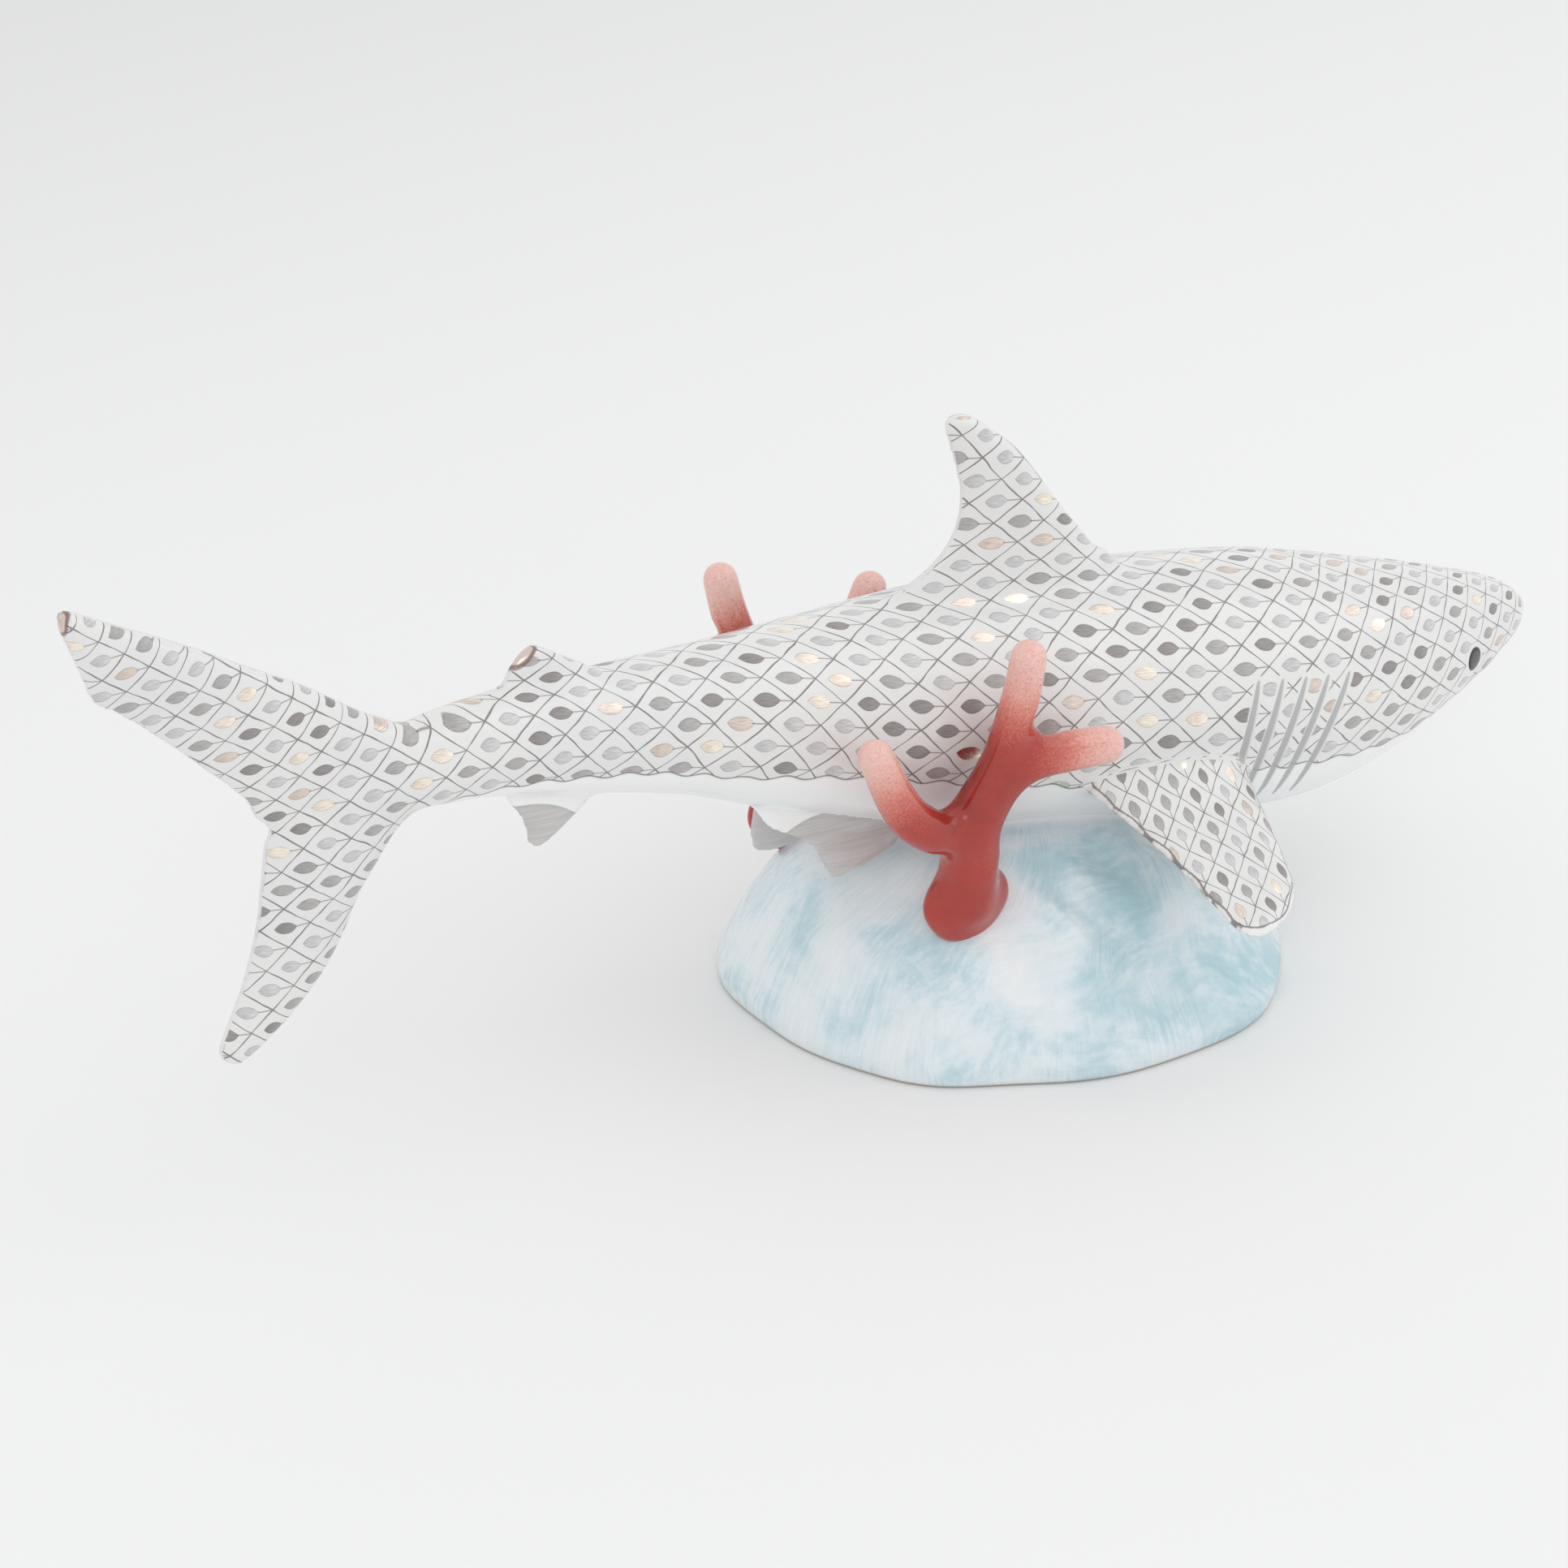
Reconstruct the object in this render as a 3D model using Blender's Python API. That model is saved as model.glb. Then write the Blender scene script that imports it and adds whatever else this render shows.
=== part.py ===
"""Porcelain shark figurine: a shark on a wave-shaped foot with two coral branches.

The figurine is one fired piece. The shark, its fins, the foot and the corals are modelled
as closed shapes and united. X runs along the shark towards its snout, Z points up, and the
foot stands on Z = 0. Tables are in millimetres and every vertex is written in metres.
"""

import math

import bmesh
import bpy
from mathutils import Matrix, Vector

MM = 0.001

# Shark body: stations from snout to tail along the spine.
# Columns: forward, sideways, up, half height, half width.
BODY_STATIONS = (
    (128.4, 0.0, 49.4, 2.8, 3.2),
    (124.8, 0.0, 49.4, 6.1, 6.9),
    (118.0, 0.2, 49.1, 9.8, 10.8),
    (109.0, 0.3, 48.6, 13.5, 14.9),
    (96.0, 0.5, 48.3, 18.1, 19.7),
    (82.0, 0.7, 48.0, 22.5, 23.9),
    (64.0, 0.9, 49.0, 26.3, 26.9),
    (40.0, 1.2, 53.0, 27.2, 27.6),
    (10.0, 1.5, 58.7, 26.1, 26.2),
    (-20.0, 1.2, 63.9, 23.9, 23.6),
    (-50.0, -0.3, 70.3, 19.2, 18.6),
    (-75.0, -3.9, 77.5, 14.7, 13.8),
    (-100.0, -7.1, 83.2, 11.9, 10.8),
    (-122.0, -9.5, 87.0, 9.8, 8.6),
    (-140.0, -11.2, 87.8, 8.1, 7.0),
    (-155.0, -12.4, 87.6, 6.4, 5.0),
)
SNOUT_LENGTH = 1.8
TAIL_END_LENGTH = 3.0
BODY_STEPS = 3
BODY_SIDES = 36

# First dorsal fin. Rows: height share, leading edge and trailing edge as chord shares.
DORSAL_STATION = -4.2
DORSAL_HEIGHT = 38.2
DORSAL_CHORD = 49.0
DORSAL_ROOT_THICKNESS = 9.5
DORSAL_TIP_THICKNESS = 4.4
DORSAL_TIP = (1.02, -0.255)
DORSAL_ROWS = (
    (-0.25, 0.62, -0.66),
    (0.00, 0.50, -0.62),
    (0.09, 0.41, -0.52),
    (0.20, 0.345, -0.37),
    (0.35, 0.255, -0.268),
    (0.55, 0.145, -0.238),
    (0.75, 0.03, -0.268),
    (0.90, -0.10, -0.303),
    (0.97, -0.165, -0.315),
    (1.00, -0.205, -0.305),
)

# Second dorsal fin
REAR_DORSAL_STATION = -112.0
REAR_DORSAL_HEIGHT = 8.1
REAR_DORSAL_CHORD = 24.0
REAR_DORSAL_ROOT_THICKNESS = 5.6
REAR_DORSAL_TIP_THICKNESS = 3.4
REAR_DORSAL_TIP = (1.02, -0.02)
REAR_DORSAL_ROWS = (
    (-0.45, 0.74, -0.66),
    (0.02, 0.54, -0.50),
    (0.28, 0.40, -0.32),
    (0.54, 0.27, -0.25),
    (0.78, 0.15, -0.175),
    (0.94, 0.07, -0.10),
)

# Anal fin
ANAL_STATION = -108.0
ANAL_DEPTH = 11.8
ANAL_CHORD = 24.0
ANAL_ROOT_THICKNESS = 5.4
ANAL_TIP_THICKNESS = 3.2
ANAL_TIP = (1.01, -0.04)
ANAL_ROWS = (
    (-0.45, 0.80, -0.45),
    (0.02, 0.67, -0.29),
    (0.28, 0.55, -0.21),
    (0.46, 0.44, -0.165),
    (0.64, 0.30, -0.13),
    (0.82, 0.15, -0.115),
    (0.95, 0.035, -0.10),
)

# Tail fin. Each lobe is measured from the end of the spine by its reach back and its
# reach up or down. Rows: front edge back and up, rear edge back and up, as reach shares.
TAIL_STATION = -150.0
TAIL_ROOT_THICKNESS = 11.0
TAIL_TIP_THICKNESS = 4.2
UPPER_LOBE_BACK = 54.0
UPPER_LOBE_UP = 50.0
UPPER_LOBE_TIP = (1.008, 0.985)
UPPER_LOBE_ROWS = (
    (-0.26, 0.16, -0.26, -0.15),
    (-0.07, 0.28, 0.05, -0.15),
    (0.146, 0.458, 0.31, -0.08),
    (0.282, 0.552, 0.395, 0.075),
    (0.40, 0.634, 0.53, 0.24),
    (0.53, 0.727, 0.649, 0.378),
    (0.65, 0.805, 0.752, 0.488),
    (0.755, 0.872, 0.845, 0.577),
    (0.84, 0.926, 0.908, 0.625),
    (0.905, 0.968, 0.942, 0.735),
    (0.955, 1.0, 0.978, 0.852),
    (0.985, 1.012, 1.002, 0.93),
)
LOWER_LOBE_BACK = 28.9
LOWER_LOBE_DOWN = 49.5
LOWER_LOBE_TIP = (0.985, 1.0)
LOWER_LOBE_ROWS = (
    (-0.52, 0.15, -0.52, -0.15),
    (-0.31, 0.225, 0.21, -0.19),
    (-0.137, 0.354, 0.579, 0.063),
    (-0.01, 0.455, 0.653, 0.244),
    (0.116, 0.596, 0.705, 0.426),
    (0.274, 0.731, 0.765, 0.56),
    (0.474, 0.846, 0.849, 0.70),
    (0.667, 0.929, 0.945, 0.82),
    (0.81, 0.976, 1.015, 0.91),
    (0.905, 1.0, 1.03, 0.955),
)

# Pectoral fins, one on each side
PECTORAL_STATION = 24.4
PECTORAL_ROOT_ANGLE = 20.0
PECTORAL_SPAN = 43.0
PECTORAL_CHORD = 37.5
PECTORAL_DROOP = 18.0
PECTORAL_SWEEP = 7.0
PECTORAL_PITCH = 9.5
PECTORAL_ROOT_THICKNESS = 7.6
PECTORAL_TIP_THICKNESS = 3.6
PECTORAL_TIP = (1.015, 0.02)
PECTORAL_ROWS = (
    (-0.32, 0.52, -0.52),
    (0.00, 0.52, -0.51),
    (0.12, 0.498, -0.45),
    (0.32, 0.475, -0.345),
    (0.54, 0.44, -0.245),
    (0.72, 0.405, -0.19),
    (0.86, 0.315, -0.15),
    (0.94, 0.215, -0.12),
    (0.985, 0.12, -0.07),
)

# Pelvic fins, one on each side of the belly. The left one stands a little further back and
# further under the belly.
PELVIC_STATION = -43.5
PELVIC_LEFT_SETBACK = 5.0
PELVIC_LEFT_TUCK = 10.0
PELVIC_ROLL = 8.0
PELVIC_ROOT_ANGLE = 74.0
PELVIC_DEPTH = 13.0
PELVIC_CHORD = 33.0
PELVIC_SPLAY = 22.0
PELVIC_ROOT_THICKNESS = 5.4
PELVIC_TIP_THICKNESS = 3.4
PELVIC_TIP = (1.01, 0.0)
PELVIC_RIGHT_ROWS = (
    (-0.45, 0.60, -0.45),
    (0.00, 0.60, -0.33),
    (0.35, 0.58, -0.14),
    (0.65, 0.52, -0.085),
    (0.84, 0.40, -0.065),
    (0.95, 0.20, -0.06),
)
# The left one has a straighter rear edge
PELVIC_LEFT_ROWS = (
    (-0.45, 0.60, -0.19),
    (0.00, 0.60, -0.16),
    (0.35, 0.58, -0.17),
    (0.65, 0.52, -0.15),
    (0.84, 0.40, -0.12),
    (0.95, 0.20, -0.10),
)
FIN_SIDES = 18
# How much thicker a fin is near its leading edge than near its trailing edge
FIN_LEAN = 0.4
FIN_FLARE_SHARE = 0.3
FIN_FLARE_THICKNESS = 2.6

# Gill grooves: five on each side, placed by station and by angle around the body
GILL_COUNT = 5
GILL_TOP_STATION = 43.0
GILL_TOP_PITCH = 6.0
GILL_BOTTOM_STATION = 43.0
GILL_BOTTOM_PITCH = 4.1
GILL_TOP_ANGLE = 24.0
GILL_BOTTOM_ANGLE = -38.0
GILL_RADIUS = 0.75
GILL_DEPTH = 0.75
GILL_STEPS = 6
GILL_SIDES = 6

# Foot: outline on the table from the head end round by the shark's right side
FOOT_OUTLINE = (
    (54.0, 4.0),
    (53.2, -24.0),
    (33.5, -46.2),
    (7.0, -51.6),
    (-19.0, -47.0),
    (-43.0, -31.5),
    (-56.0, -6.0),
    (-55.0, 20.0),
    (-41.0, 39.0),
    (-16.0, 48.5),
    (12.0, 49.0),
    (38.0, 38.0),
)
FOOT_STEPS = 4
FOOT_RIM_INSET = 1.2
FOOT_RIM_HEIGHT = 4.0
FOOT_APEX = (-14.0, 0.0)
FOOT_CREST_SINK = 1.8
FOOT_ROUNDNESS = 2.8
FOOT_RINGS = (0.97, 0.92, 0.85, 0.77, 0.68, 0.58, 0.47, 0.35, 0.22)
FOOT_WALL = 5.0
HOLLOW_RINGS = (0.93, 0.8, 0.6, 0.35)
# Swells of the wave relief. Columns: forward, sideways, rise, width.
FOOT_SWELLS = (
    (-40.0, -22.0, -1.4, 8.0),
    (-28.0, -38.0, 0.9, 9.0),
    (2.0, -37.0, -0.9, 9.0),
    (27.0, -31.0, 1.3, 8.0),
    (38.0, -18.0, -1.2, 7.0),
    (44.0, 12.0, 1.0, 10.0),
    (20.0, 36.0, -1.2, 10.0),
    (-8.0, 38.0, 1.2, 10.0),
    (-44.0, 14.0, 1.0, 9.0),
)

# Coral branches: the same casting stands on each side, turned half round on the left one,
# which also leans a little. Columns: forward, outward, up from the root, radius.
CORAL_RIGHT_ROOT = (-26.6, -26.2)
CORAL_LEFT_ROOT = (-34.6, 26.0)
CORAL_LEFT_LEAN = 3.4
CORAL_PAD_HALF_WIDTH = 10.2
CORAL_PAD_HALF_DEPTH = 5.0
CORAL_PAD_HALF_HEIGHT = 9.2
CORAL_PAD_LIFT = 5.4
CORAL_STEM = (
    (0.3, 0.4, 3.0, 6.0),
    (0.3, 1.2, 7.5, 6.2),
    (-0.2, 2.4, 16.0, 6.0),
    (-0.7, 3.6, 23.0, 6.0),
    (0.8, 4.6, 29.5, 5.2),
    (5.2, 5.4, 39.3, 4.1),
    (8.6, 5.5, 50.0, 3.8),
    (10.3, 5.5, 58.9, 3.6),
)
CORAL_REAR_FINGER = (
    (-0.7, 3.5, 23.0, 5.0),
    (-8.2, 4.2, 24.9, 4.6),
    (-14.8, 4.8, 29.8, 4.4),
    (-19.4, 5.4, 36.8, 4.0),
    (-22.2, 5.5, 43.2, 3.7),
    (-23.7, 5.5, 46.4, 3.6),
)
CORAL_FRONT_FINGER = (
    (1.2, 4.4, 26.0, 5.0),
    (5.0, 5.0, 32.6, 4.7),
    (11.0, 5.8, 36.3, 4.3),
    (19.0, 6.7, 36.6, 4.1),
    (27.4, 7.5, 36.2, 3.9),
)
CORAL_STEPS = 2
CORAL_SIDES = 12
PAD_SIDES = 14
PAD_RINGS = 8
ROUND_END_RINGS = 3

# Distance within which corners left by the unions are joined
SEAM_WELD = 0.03

# Glaze colours
WHITE_GLAZE = (0.86, 0.87, 0.86)
WAVE_GLAZE = (0.72, 0.82, 0.86)
CORAL_GLAZE = (0.52, 0.06, 0.045)
GLAZE_ROUGHNESS = 0.14


def clear_scene():
    """Remove every object of the open scene."""
    for item in list(bpy.data.objects):
        bpy.data.objects.remove(item, do_unlink=True)


def glaze(name, colour):
    """Return a glossy glaze material of one colour."""
    material = bpy.data.materials.new(name)
    material.use_nodes = True
    shader = material.node_tree.nodes["Principled BSDF"]
    shader.inputs["Base Color"].default_value = (*colour, 1.0)
    shader.inputs["Roughness"].default_value = GLAZE_ROUGHNESS
    shader.inputs["Metallic"].default_value = 0.0
    return material


def spline(points, steps, closed=False):
    """Return points along a smooth curve through the given rows of numbers.

    The curve is a Catmull-Rom spline with steps points to each span.
    """
    count = len(points)
    spans = count if closed else count - 1
    result = []
    for index in range(spans):
        if closed:
            knots = [points[(index + shift) % count] for shift in (-1, 0, 1, 2)]
        else:
            knots = [points[min(max(index + shift, 0), count - 1)] for shift in (-1, 0, 1, 2)]
        for step in range(steps):
            result.append(spline_point(knots, step / steps))
    if not closed:
        result.append(tuple(points[-1]))
    return result


def spline_point(knots, share):
    """Return one Catmull-Rom point between the second and third of four knots."""
    values = []
    for before, start, end, after in zip(*knots):
        slope_in = (end - before) / 2
        slope_out = (after - start) / 2
        cube = 2 * start - 2 * end + slope_in + slope_out
        square = 3 * end - 3 * start - 2 * slope_in - slope_out
        values.append(((cube * share + square) * share + slope_in) * share + start)
    return tuple(values)


def loft(rings, start_pole=None, end_pole=None):
    """Return a closed bmesh skinned over rings of points, each end a pole or a flat face."""
    mesh = bmesh.new()
    loops = [[mesh.verts.new(Vector(point) * MM) for point in ring] for ring in rings]
    count = len(loops[0])
    for near, far in zip(loops, loops[1:]):
        for index in range(count):
            follow = (index + 1) % count
            mesh.faces.new((near[index], near[follow], far[follow], far[index]))
    close_end(mesh, loops[0], start_pole)
    close_end(mesh, loops[-1], end_pole)
    bmesh.ops.recalc_face_normals(mesh, faces=mesh.faces)
    if mesh.calc_volume(signed=True) < 0:
        bmesh.ops.reverse_faces(mesh, faces=mesh.faces)
    return mesh


def close_end(mesh, loop, pole):
    """Close one end of a loft by a fan to a pole, or by one flat face."""
    if pole is None:
        mesh.faces.new(loop)
        return
    tip = mesh.verts.new(Vector(pole) * MM)
    for index, vertex in enumerate(loop):
        mesh.faces.new((vertex, loop[(index + 1) % len(loop)], tip))


def make_object(name, mesh, materials, slot):
    """Turn a bmesh into a smooth-shaded scene object with the shared glaze slots."""
    data = bpy.data.meshes.new(name)
    for face in mesh.faces:
        face.material_index = slot
        face.smooth = True
    mesh.to_mesh(data)
    mesh.free()
    for material in materials:
        data.materials.append(material)
    item = bpy.data.objects.new(name, data)
    bpy.context.scene.collection.objects.link(item)
    return item


def body_station(forward):
    """Return the body's station at a forward place: spine point and half sizes."""
    rows = BODY_STATIONS
    if forward >= rows[0][0]:
        return rows[0]
    if forward <= rows[-1][0]:
        return rows[-1]
    index = next(i for i in range(len(rows) - 1) if rows[i + 1][0] <= forward)
    knots = [rows[min(max(index + shift, 0), len(rows) - 1)] for shift in (-1, 0, 1, 2)]
    low = 0.0
    high = 1.0
    for _ in range(40):
        middle = (low + high) / 2
        if spline_point(knots, middle)[0] > forward:
            low = middle
        else:
            high = middle
    return spline_point(knots, low)


def spine_heading(forward, reach=2.0):
    """Return the unit direction of the spine towards the snout at a forward place."""
    ahead = Vector(body_station(forward + reach)[:3])
    behind = Vector(body_station(forward - reach)[:3])
    return (ahead - behind).normalized()


def ring_axes(heading):
    """Return the sideways and upward unit axes of a ring across a heading."""
    side = Vector((0.0, 0.0, 1.0)).cross(heading).normalized()
    up = heading.cross(side).normalized()
    return side, up


def body_point(forward, degrees, proud=0.0):
    """Return a point on the body's skin at an angle above the left side, raised by proud."""
    _, _, _, half_height, half_width = body_station(forward)
    side, up = ring_axes(spine_heading(forward))
    angle = math.radians(degrees)
    centre = Vector(body_station(forward)[:3])
    return (
        centre
        + side * math.cos(angle) * (half_width + proud)
        + up * math.sin(angle) * (half_height + proud)
    )


def body_mesh():
    """Return the shark's body, skinned over its stations from snout to tail."""
    rows = spline(BODY_STATIONS, BODY_STEPS)
    rings = []
    for index, row in enumerate(rows):
        ahead = Vector(rows[max(index - 1, 0)][:3])
        behind = Vector(rows[min(index + 1, len(rows) - 1)][:3])
        side, up = ring_axes((ahead - behind).normalized())
        rings.append(oval_ring(Vector(row[:3]), side * row[4], up * row[3], BODY_SIDES))
    first = Vector(rows[0][:3])
    last = Vector(rows[-1][:3])
    snout = first + Vector((SNOUT_LENGTH, 0.0, 0.0))
    end = last - Vector((TAIL_END_LENGTH, 0.0, 0.0))
    return loft(rings, snout, end)


def oval_ring(centre, across, upward, sides, lean=0.0):
    """Return the points of an oval from its centre and its two half axes.

    A lean above 0 makes the oval thicker towards the end of its first half axis.
    """
    ring = []
    for index in range(sides):
        angle = 2 * math.pi * index / sides
        thick = math.sin(angle) * (1 + lean * math.cos(angle))
        ring.append(centre + across * math.cos(angle) + upward * thick)
    return ring


def fin_thickness(share, root, tip):
    """Return a fin's thickness at a share of its height, flared where it leaves the body."""
    flare = max(0.0, 1 - max(share, 0.0) / FIN_FLARE_SHARE) ** 2
    return root + (tip - root) * max(share, 0.0) + flare * FIN_FLARE_THICKNESS


def fin_mesh(origin, forward, outward, rows, tip, height, chord, root, end):
    """Return a fin skinned over its rows.

    Each row gives a height share and the chord shares of its two edges. The rings are
    ovals across the chord. The tip is a pole.
    """
    normal = forward.cross(outward).normalized()
    rings = []
    for share, lead, trail in rows:
        centre = origin + outward * share * height + forward * (lead + trail) / 2 * chord
        along = forward * (lead - trail) / 2 * chord
        thick = normal * fin_thickness(share, root, end) / 2
        rings.append(oval_ring(centre, along, thick * edge_narrowing(lead - trail, chord, end),
                               FIN_SIDES, FIN_LEAN))
    pole = origin + outward * tip[0] * height + forward * tip[1] * chord
    return loft(rings, end_pole=pole)


def edge_narrowing(width_share, chord, end):
    """Return how far a ring close to the tip is thinned, so that the tip is rounded."""
    return min(1.0, width_share * chord / (2 * end) + 0.35)


def level_heading(forward):
    """Return the spine's direction at a forward place, laid level."""
    heading = spine_heading(forward)
    heading.z = 0.0
    return heading.normalized()


def dorsal_mesh():
    """Return the first dorsal fin, standing on the back."""
    return fin_mesh(
        body_point(DORSAL_STATION, 90.0), level_heading(DORSAL_STATION), Vector((0, 0, 1)),
        DORSAL_ROWS, DORSAL_TIP, DORSAL_HEIGHT, DORSAL_CHORD,
        DORSAL_ROOT_THICKNESS, DORSAL_TIP_THICKNESS,
    )


def rear_dorsal_mesh():
    """Return the small second dorsal fin."""
    return fin_mesh(
        body_point(REAR_DORSAL_STATION, 90.0), level_heading(REAR_DORSAL_STATION),
        Vector((0, 0, 1)), REAR_DORSAL_ROWS, REAR_DORSAL_TIP, REAR_DORSAL_HEIGHT,
        REAR_DORSAL_CHORD, REAR_DORSAL_ROOT_THICKNESS, REAR_DORSAL_TIP_THICKNESS,
    )


def anal_mesh():
    """Return the anal fin under the tail."""
    return fin_mesh(
        body_point(ANAL_STATION, -90.0), level_heading(ANAL_STATION), Vector((0, 0, -1)),
        ANAL_ROWS, ANAL_TIP, ANAL_DEPTH, ANAL_CHORD,
        ANAL_ROOT_THICKNESS, ANAL_TIP_THICKNESS,
    )


def lobe_mesh(rows, tip, back, rise):
    """Return one lobe of the tail fin, skinned over chords that fan out from the spine."""
    origin = Vector(body_station(TAIL_STATION)[:3])
    heading = level_heading(TAIL_STATION)
    side = Vector((0.0, 0.0, 1.0)).cross(heading).normalized()
    upward = Vector((0.0, 0.0, 1.0))
    rings = []
    for index, (front_back, front_up, rear_back, rear_up) in enumerate(rows):
        front = origin - heading * front_back * back + upward * front_up * rise
        rear = origin - heading * rear_back * back + upward * rear_up * rise
        share = index / len(rows)
        thick = TAIL_ROOT_THICKNESS + (TAIL_TIP_THICKNESS - TAIL_ROOT_THICKNESS) * share ** 0.6
        rings.append(oval_ring((front + rear) / 2, (front - rear) / 2, side * thick / 2,
                               FIN_SIDES, FIN_LEAN))
    pole = origin - heading * tip[0] * back + upward * tip[1] * rise
    return loft(rings, end_pole=pole)


def pectoral_mesh(side_sign):
    """Return one pectoral fin. The sign is 1 for the left side and -1 for the right."""
    angle = -PECTORAL_ROOT_ANGLE if side_sign > 0 else PECTORAL_ROOT_ANGLE - 180.0
    origin = body_point(PECTORAL_STATION, angle)
    droop = math.radians(PECTORAL_DROOP)
    sweep = math.radians(PECTORAL_SWEEP)
    pitch = math.radians(PECTORAL_PITCH)
    heading = level_heading(PECTORAL_STATION)
    side = Vector((0.0, 0.0, 1.0)).cross(heading).normalized() * side_sign
    level = side * math.cos(sweep) - heading * math.sin(sweep)
    outward = level * math.cos(droop) - Vector((0.0, 0.0, 1.0)) * math.sin(droop)
    forward = heading * math.cos(pitch) - Vector((0.0, 0.0, 1.0)) * math.sin(pitch)
    return fin_mesh(
        origin, forward, outward, PECTORAL_ROWS, PECTORAL_TIP, PECTORAL_SPAN,
        PECTORAL_CHORD, PECTORAL_ROOT_THICKNESS, PECTORAL_TIP_THICKNESS,
    )


def pelvic_mesh(side_sign):
    """Return one pelvic fin, hanging from the belly. The sign is as for the pectorals."""
    angle = PELVIC_ROOT_ANGLE - 180.0
    station = PELVIC_STATION
    rows = PELVIC_RIGHT_ROWS
    if side_sign > 0:
        angle = -PELVIC_ROOT_ANGLE - PELVIC_LEFT_TUCK
        station -= PELVIC_LEFT_SETBACK
        rows = PELVIC_LEFT_ROWS
    splay = math.radians(PELVIC_SPLAY - side_sign * PELVIC_ROLL)
    heading = level_heading(station)
    side = Vector((0.0, 0.0, 1.0)).cross(heading).normalized() * side_sign
    outward = side * math.sin(splay) - Vector((0.0, 0.0, 1.0)) * math.cos(splay)
    return fin_mesh(
        body_point(station, angle), heading, outward, rows, PELVIC_TIP,
        PELVIC_DEPTH, PELVIC_CHORD, PELVIC_ROOT_THICKNESS, PELVIC_TIP_THICKNESS,
    )


def tube_mesh(rows, sides, round_rings):
    """Return a tube with rounded ends along rows of centre and radius."""
    centres = [Vector(row[:3]) for row in rows]
    radii = [row[3] for row in rows]
    side = None
    rings = []
    for index, centre in enumerate(centres):
        before = centres[max(index - 1, 0)]
        after = centres[min(index + 1, len(centres) - 1)]
        heading = (after - before).normalized()
        side, up = carried_axes(heading, side)
        if index == 0:
            for step in range(round_rings, 0, -1):
                rings.append(end_ring(centre, -heading, side, up, radii[0], step / (
                    round_rings + 1), sides))
            start_pole = centre - heading * radii[0]
        rings.append(oval_ring(centre, side * radii[index], up * radii[index], sides))
    for step in range(1, round_rings + 1):
        rings.append(end_ring(centres[-1], heading, side, up, radii[-1], step / (
            round_rings + 1), sides))
    return loft(rings, start_pole, centres[-1] + heading * radii[-1])


def carried_axes(heading, previous):
    """Return ring axes across a heading that turn as little as they can from the last."""
    if previous is None:
        previous = Vector((0.0, 1.0, 0.0)) if abs(heading.y) < 0.9 else Vector((1.0, 0.0, 0.0))
    side = (previous - heading * previous.dot(heading)).normalized()
    return side, heading.cross(side).normalized()


def end_ring(centre, heading, side, up, radius, share, sides):
    """Return one ring of a tube's rounded end, at a share of the quarter circle."""
    angle = share * math.pi / 2
    middle = centre + heading * radius * math.sin(angle)
    width = radius * math.cos(angle)
    return oval_ring(middle, side * width, up * width, sides)


def gill_cutter(side_sign, index):
    """Return one gill groove's cutter: a thin tube laid along the body's skin."""
    rows = []
    top = GILL_TOP_STATION + index * GILL_TOP_PITCH
    bottom = GILL_BOTTOM_STATION + index * GILL_BOTTOM_PITCH
    for step in range(GILL_STEPS + 1):
        share = step / GILL_STEPS
        degrees = GILL_TOP_ANGLE + (GILL_BOTTOM_ANGLE - GILL_TOP_ANGLE) * share
        station = top + (bottom - top) * share
        if side_sign < 0:
            degrees = 180.0 - degrees
        proud = GILL_RADIUS - GILL_DEPTH
        rows.append((*body_point(station, degrees, proud), GILL_RADIUS))
    return tube_mesh(rows, GILL_SIDES, 1)


def foot_loop():
    """Return the foot's outline as a smooth closed row of points."""
    return [Vector((x, y)) for x, y in spline(FOOT_OUTLINE, FOOT_STEPS, closed=True)]


def foot_crest():
    """Return the height of the foot's crest, sunk into the belly above the apex."""
    belly = body_point(FOOT_APEX[0], -90.0)
    return belly.z + FOOT_CREST_SINK


def swell(x, y):
    """Return the rise of the wave relief at a place on the foot."""
    rise = 0.0
    for centre_x, centre_y, height, width in FOOT_SWELLS:
        distance = (x - centre_x) ** 2 + (y - centre_y) ** 2
        rise += height * math.exp(-distance / (2 * width ** 2))
    return rise


def foot_height(share, x, y):
    """Return the foot's surface height at a share of the way from its apex to its edge."""
    body = (foot_crest() - FOOT_RIM_HEIGHT) * (1 - share ** FOOT_ROUNDNESS)
    fade = 1 - share ** 6
    return FOOT_RIM_HEIGHT + body + swell(x, y) * fade


def foot_surface(x, y):
    """Return the foot's surface height at any place inside its outline."""
    apex = Vector(FOOT_APEX)
    target = Vector((x, y)) - apex
    outline = foot_loop()
    bearing = math.atan2(target.y, target.x)
    best = min(outline, key=lambda point: bearing_gap(point - apex, bearing))
    share = target.length / (best - apex).length
    return foot_height(share, x, y)


def bearing_gap(vector, bearing):
    """Return how far a vector's bearing is from another bearing, in radians."""
    gap = math.atan2(vector.y, vector.x) - bearing
    return abs(math.atan2(math.sin(gap), math.cos(gap)))


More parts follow.
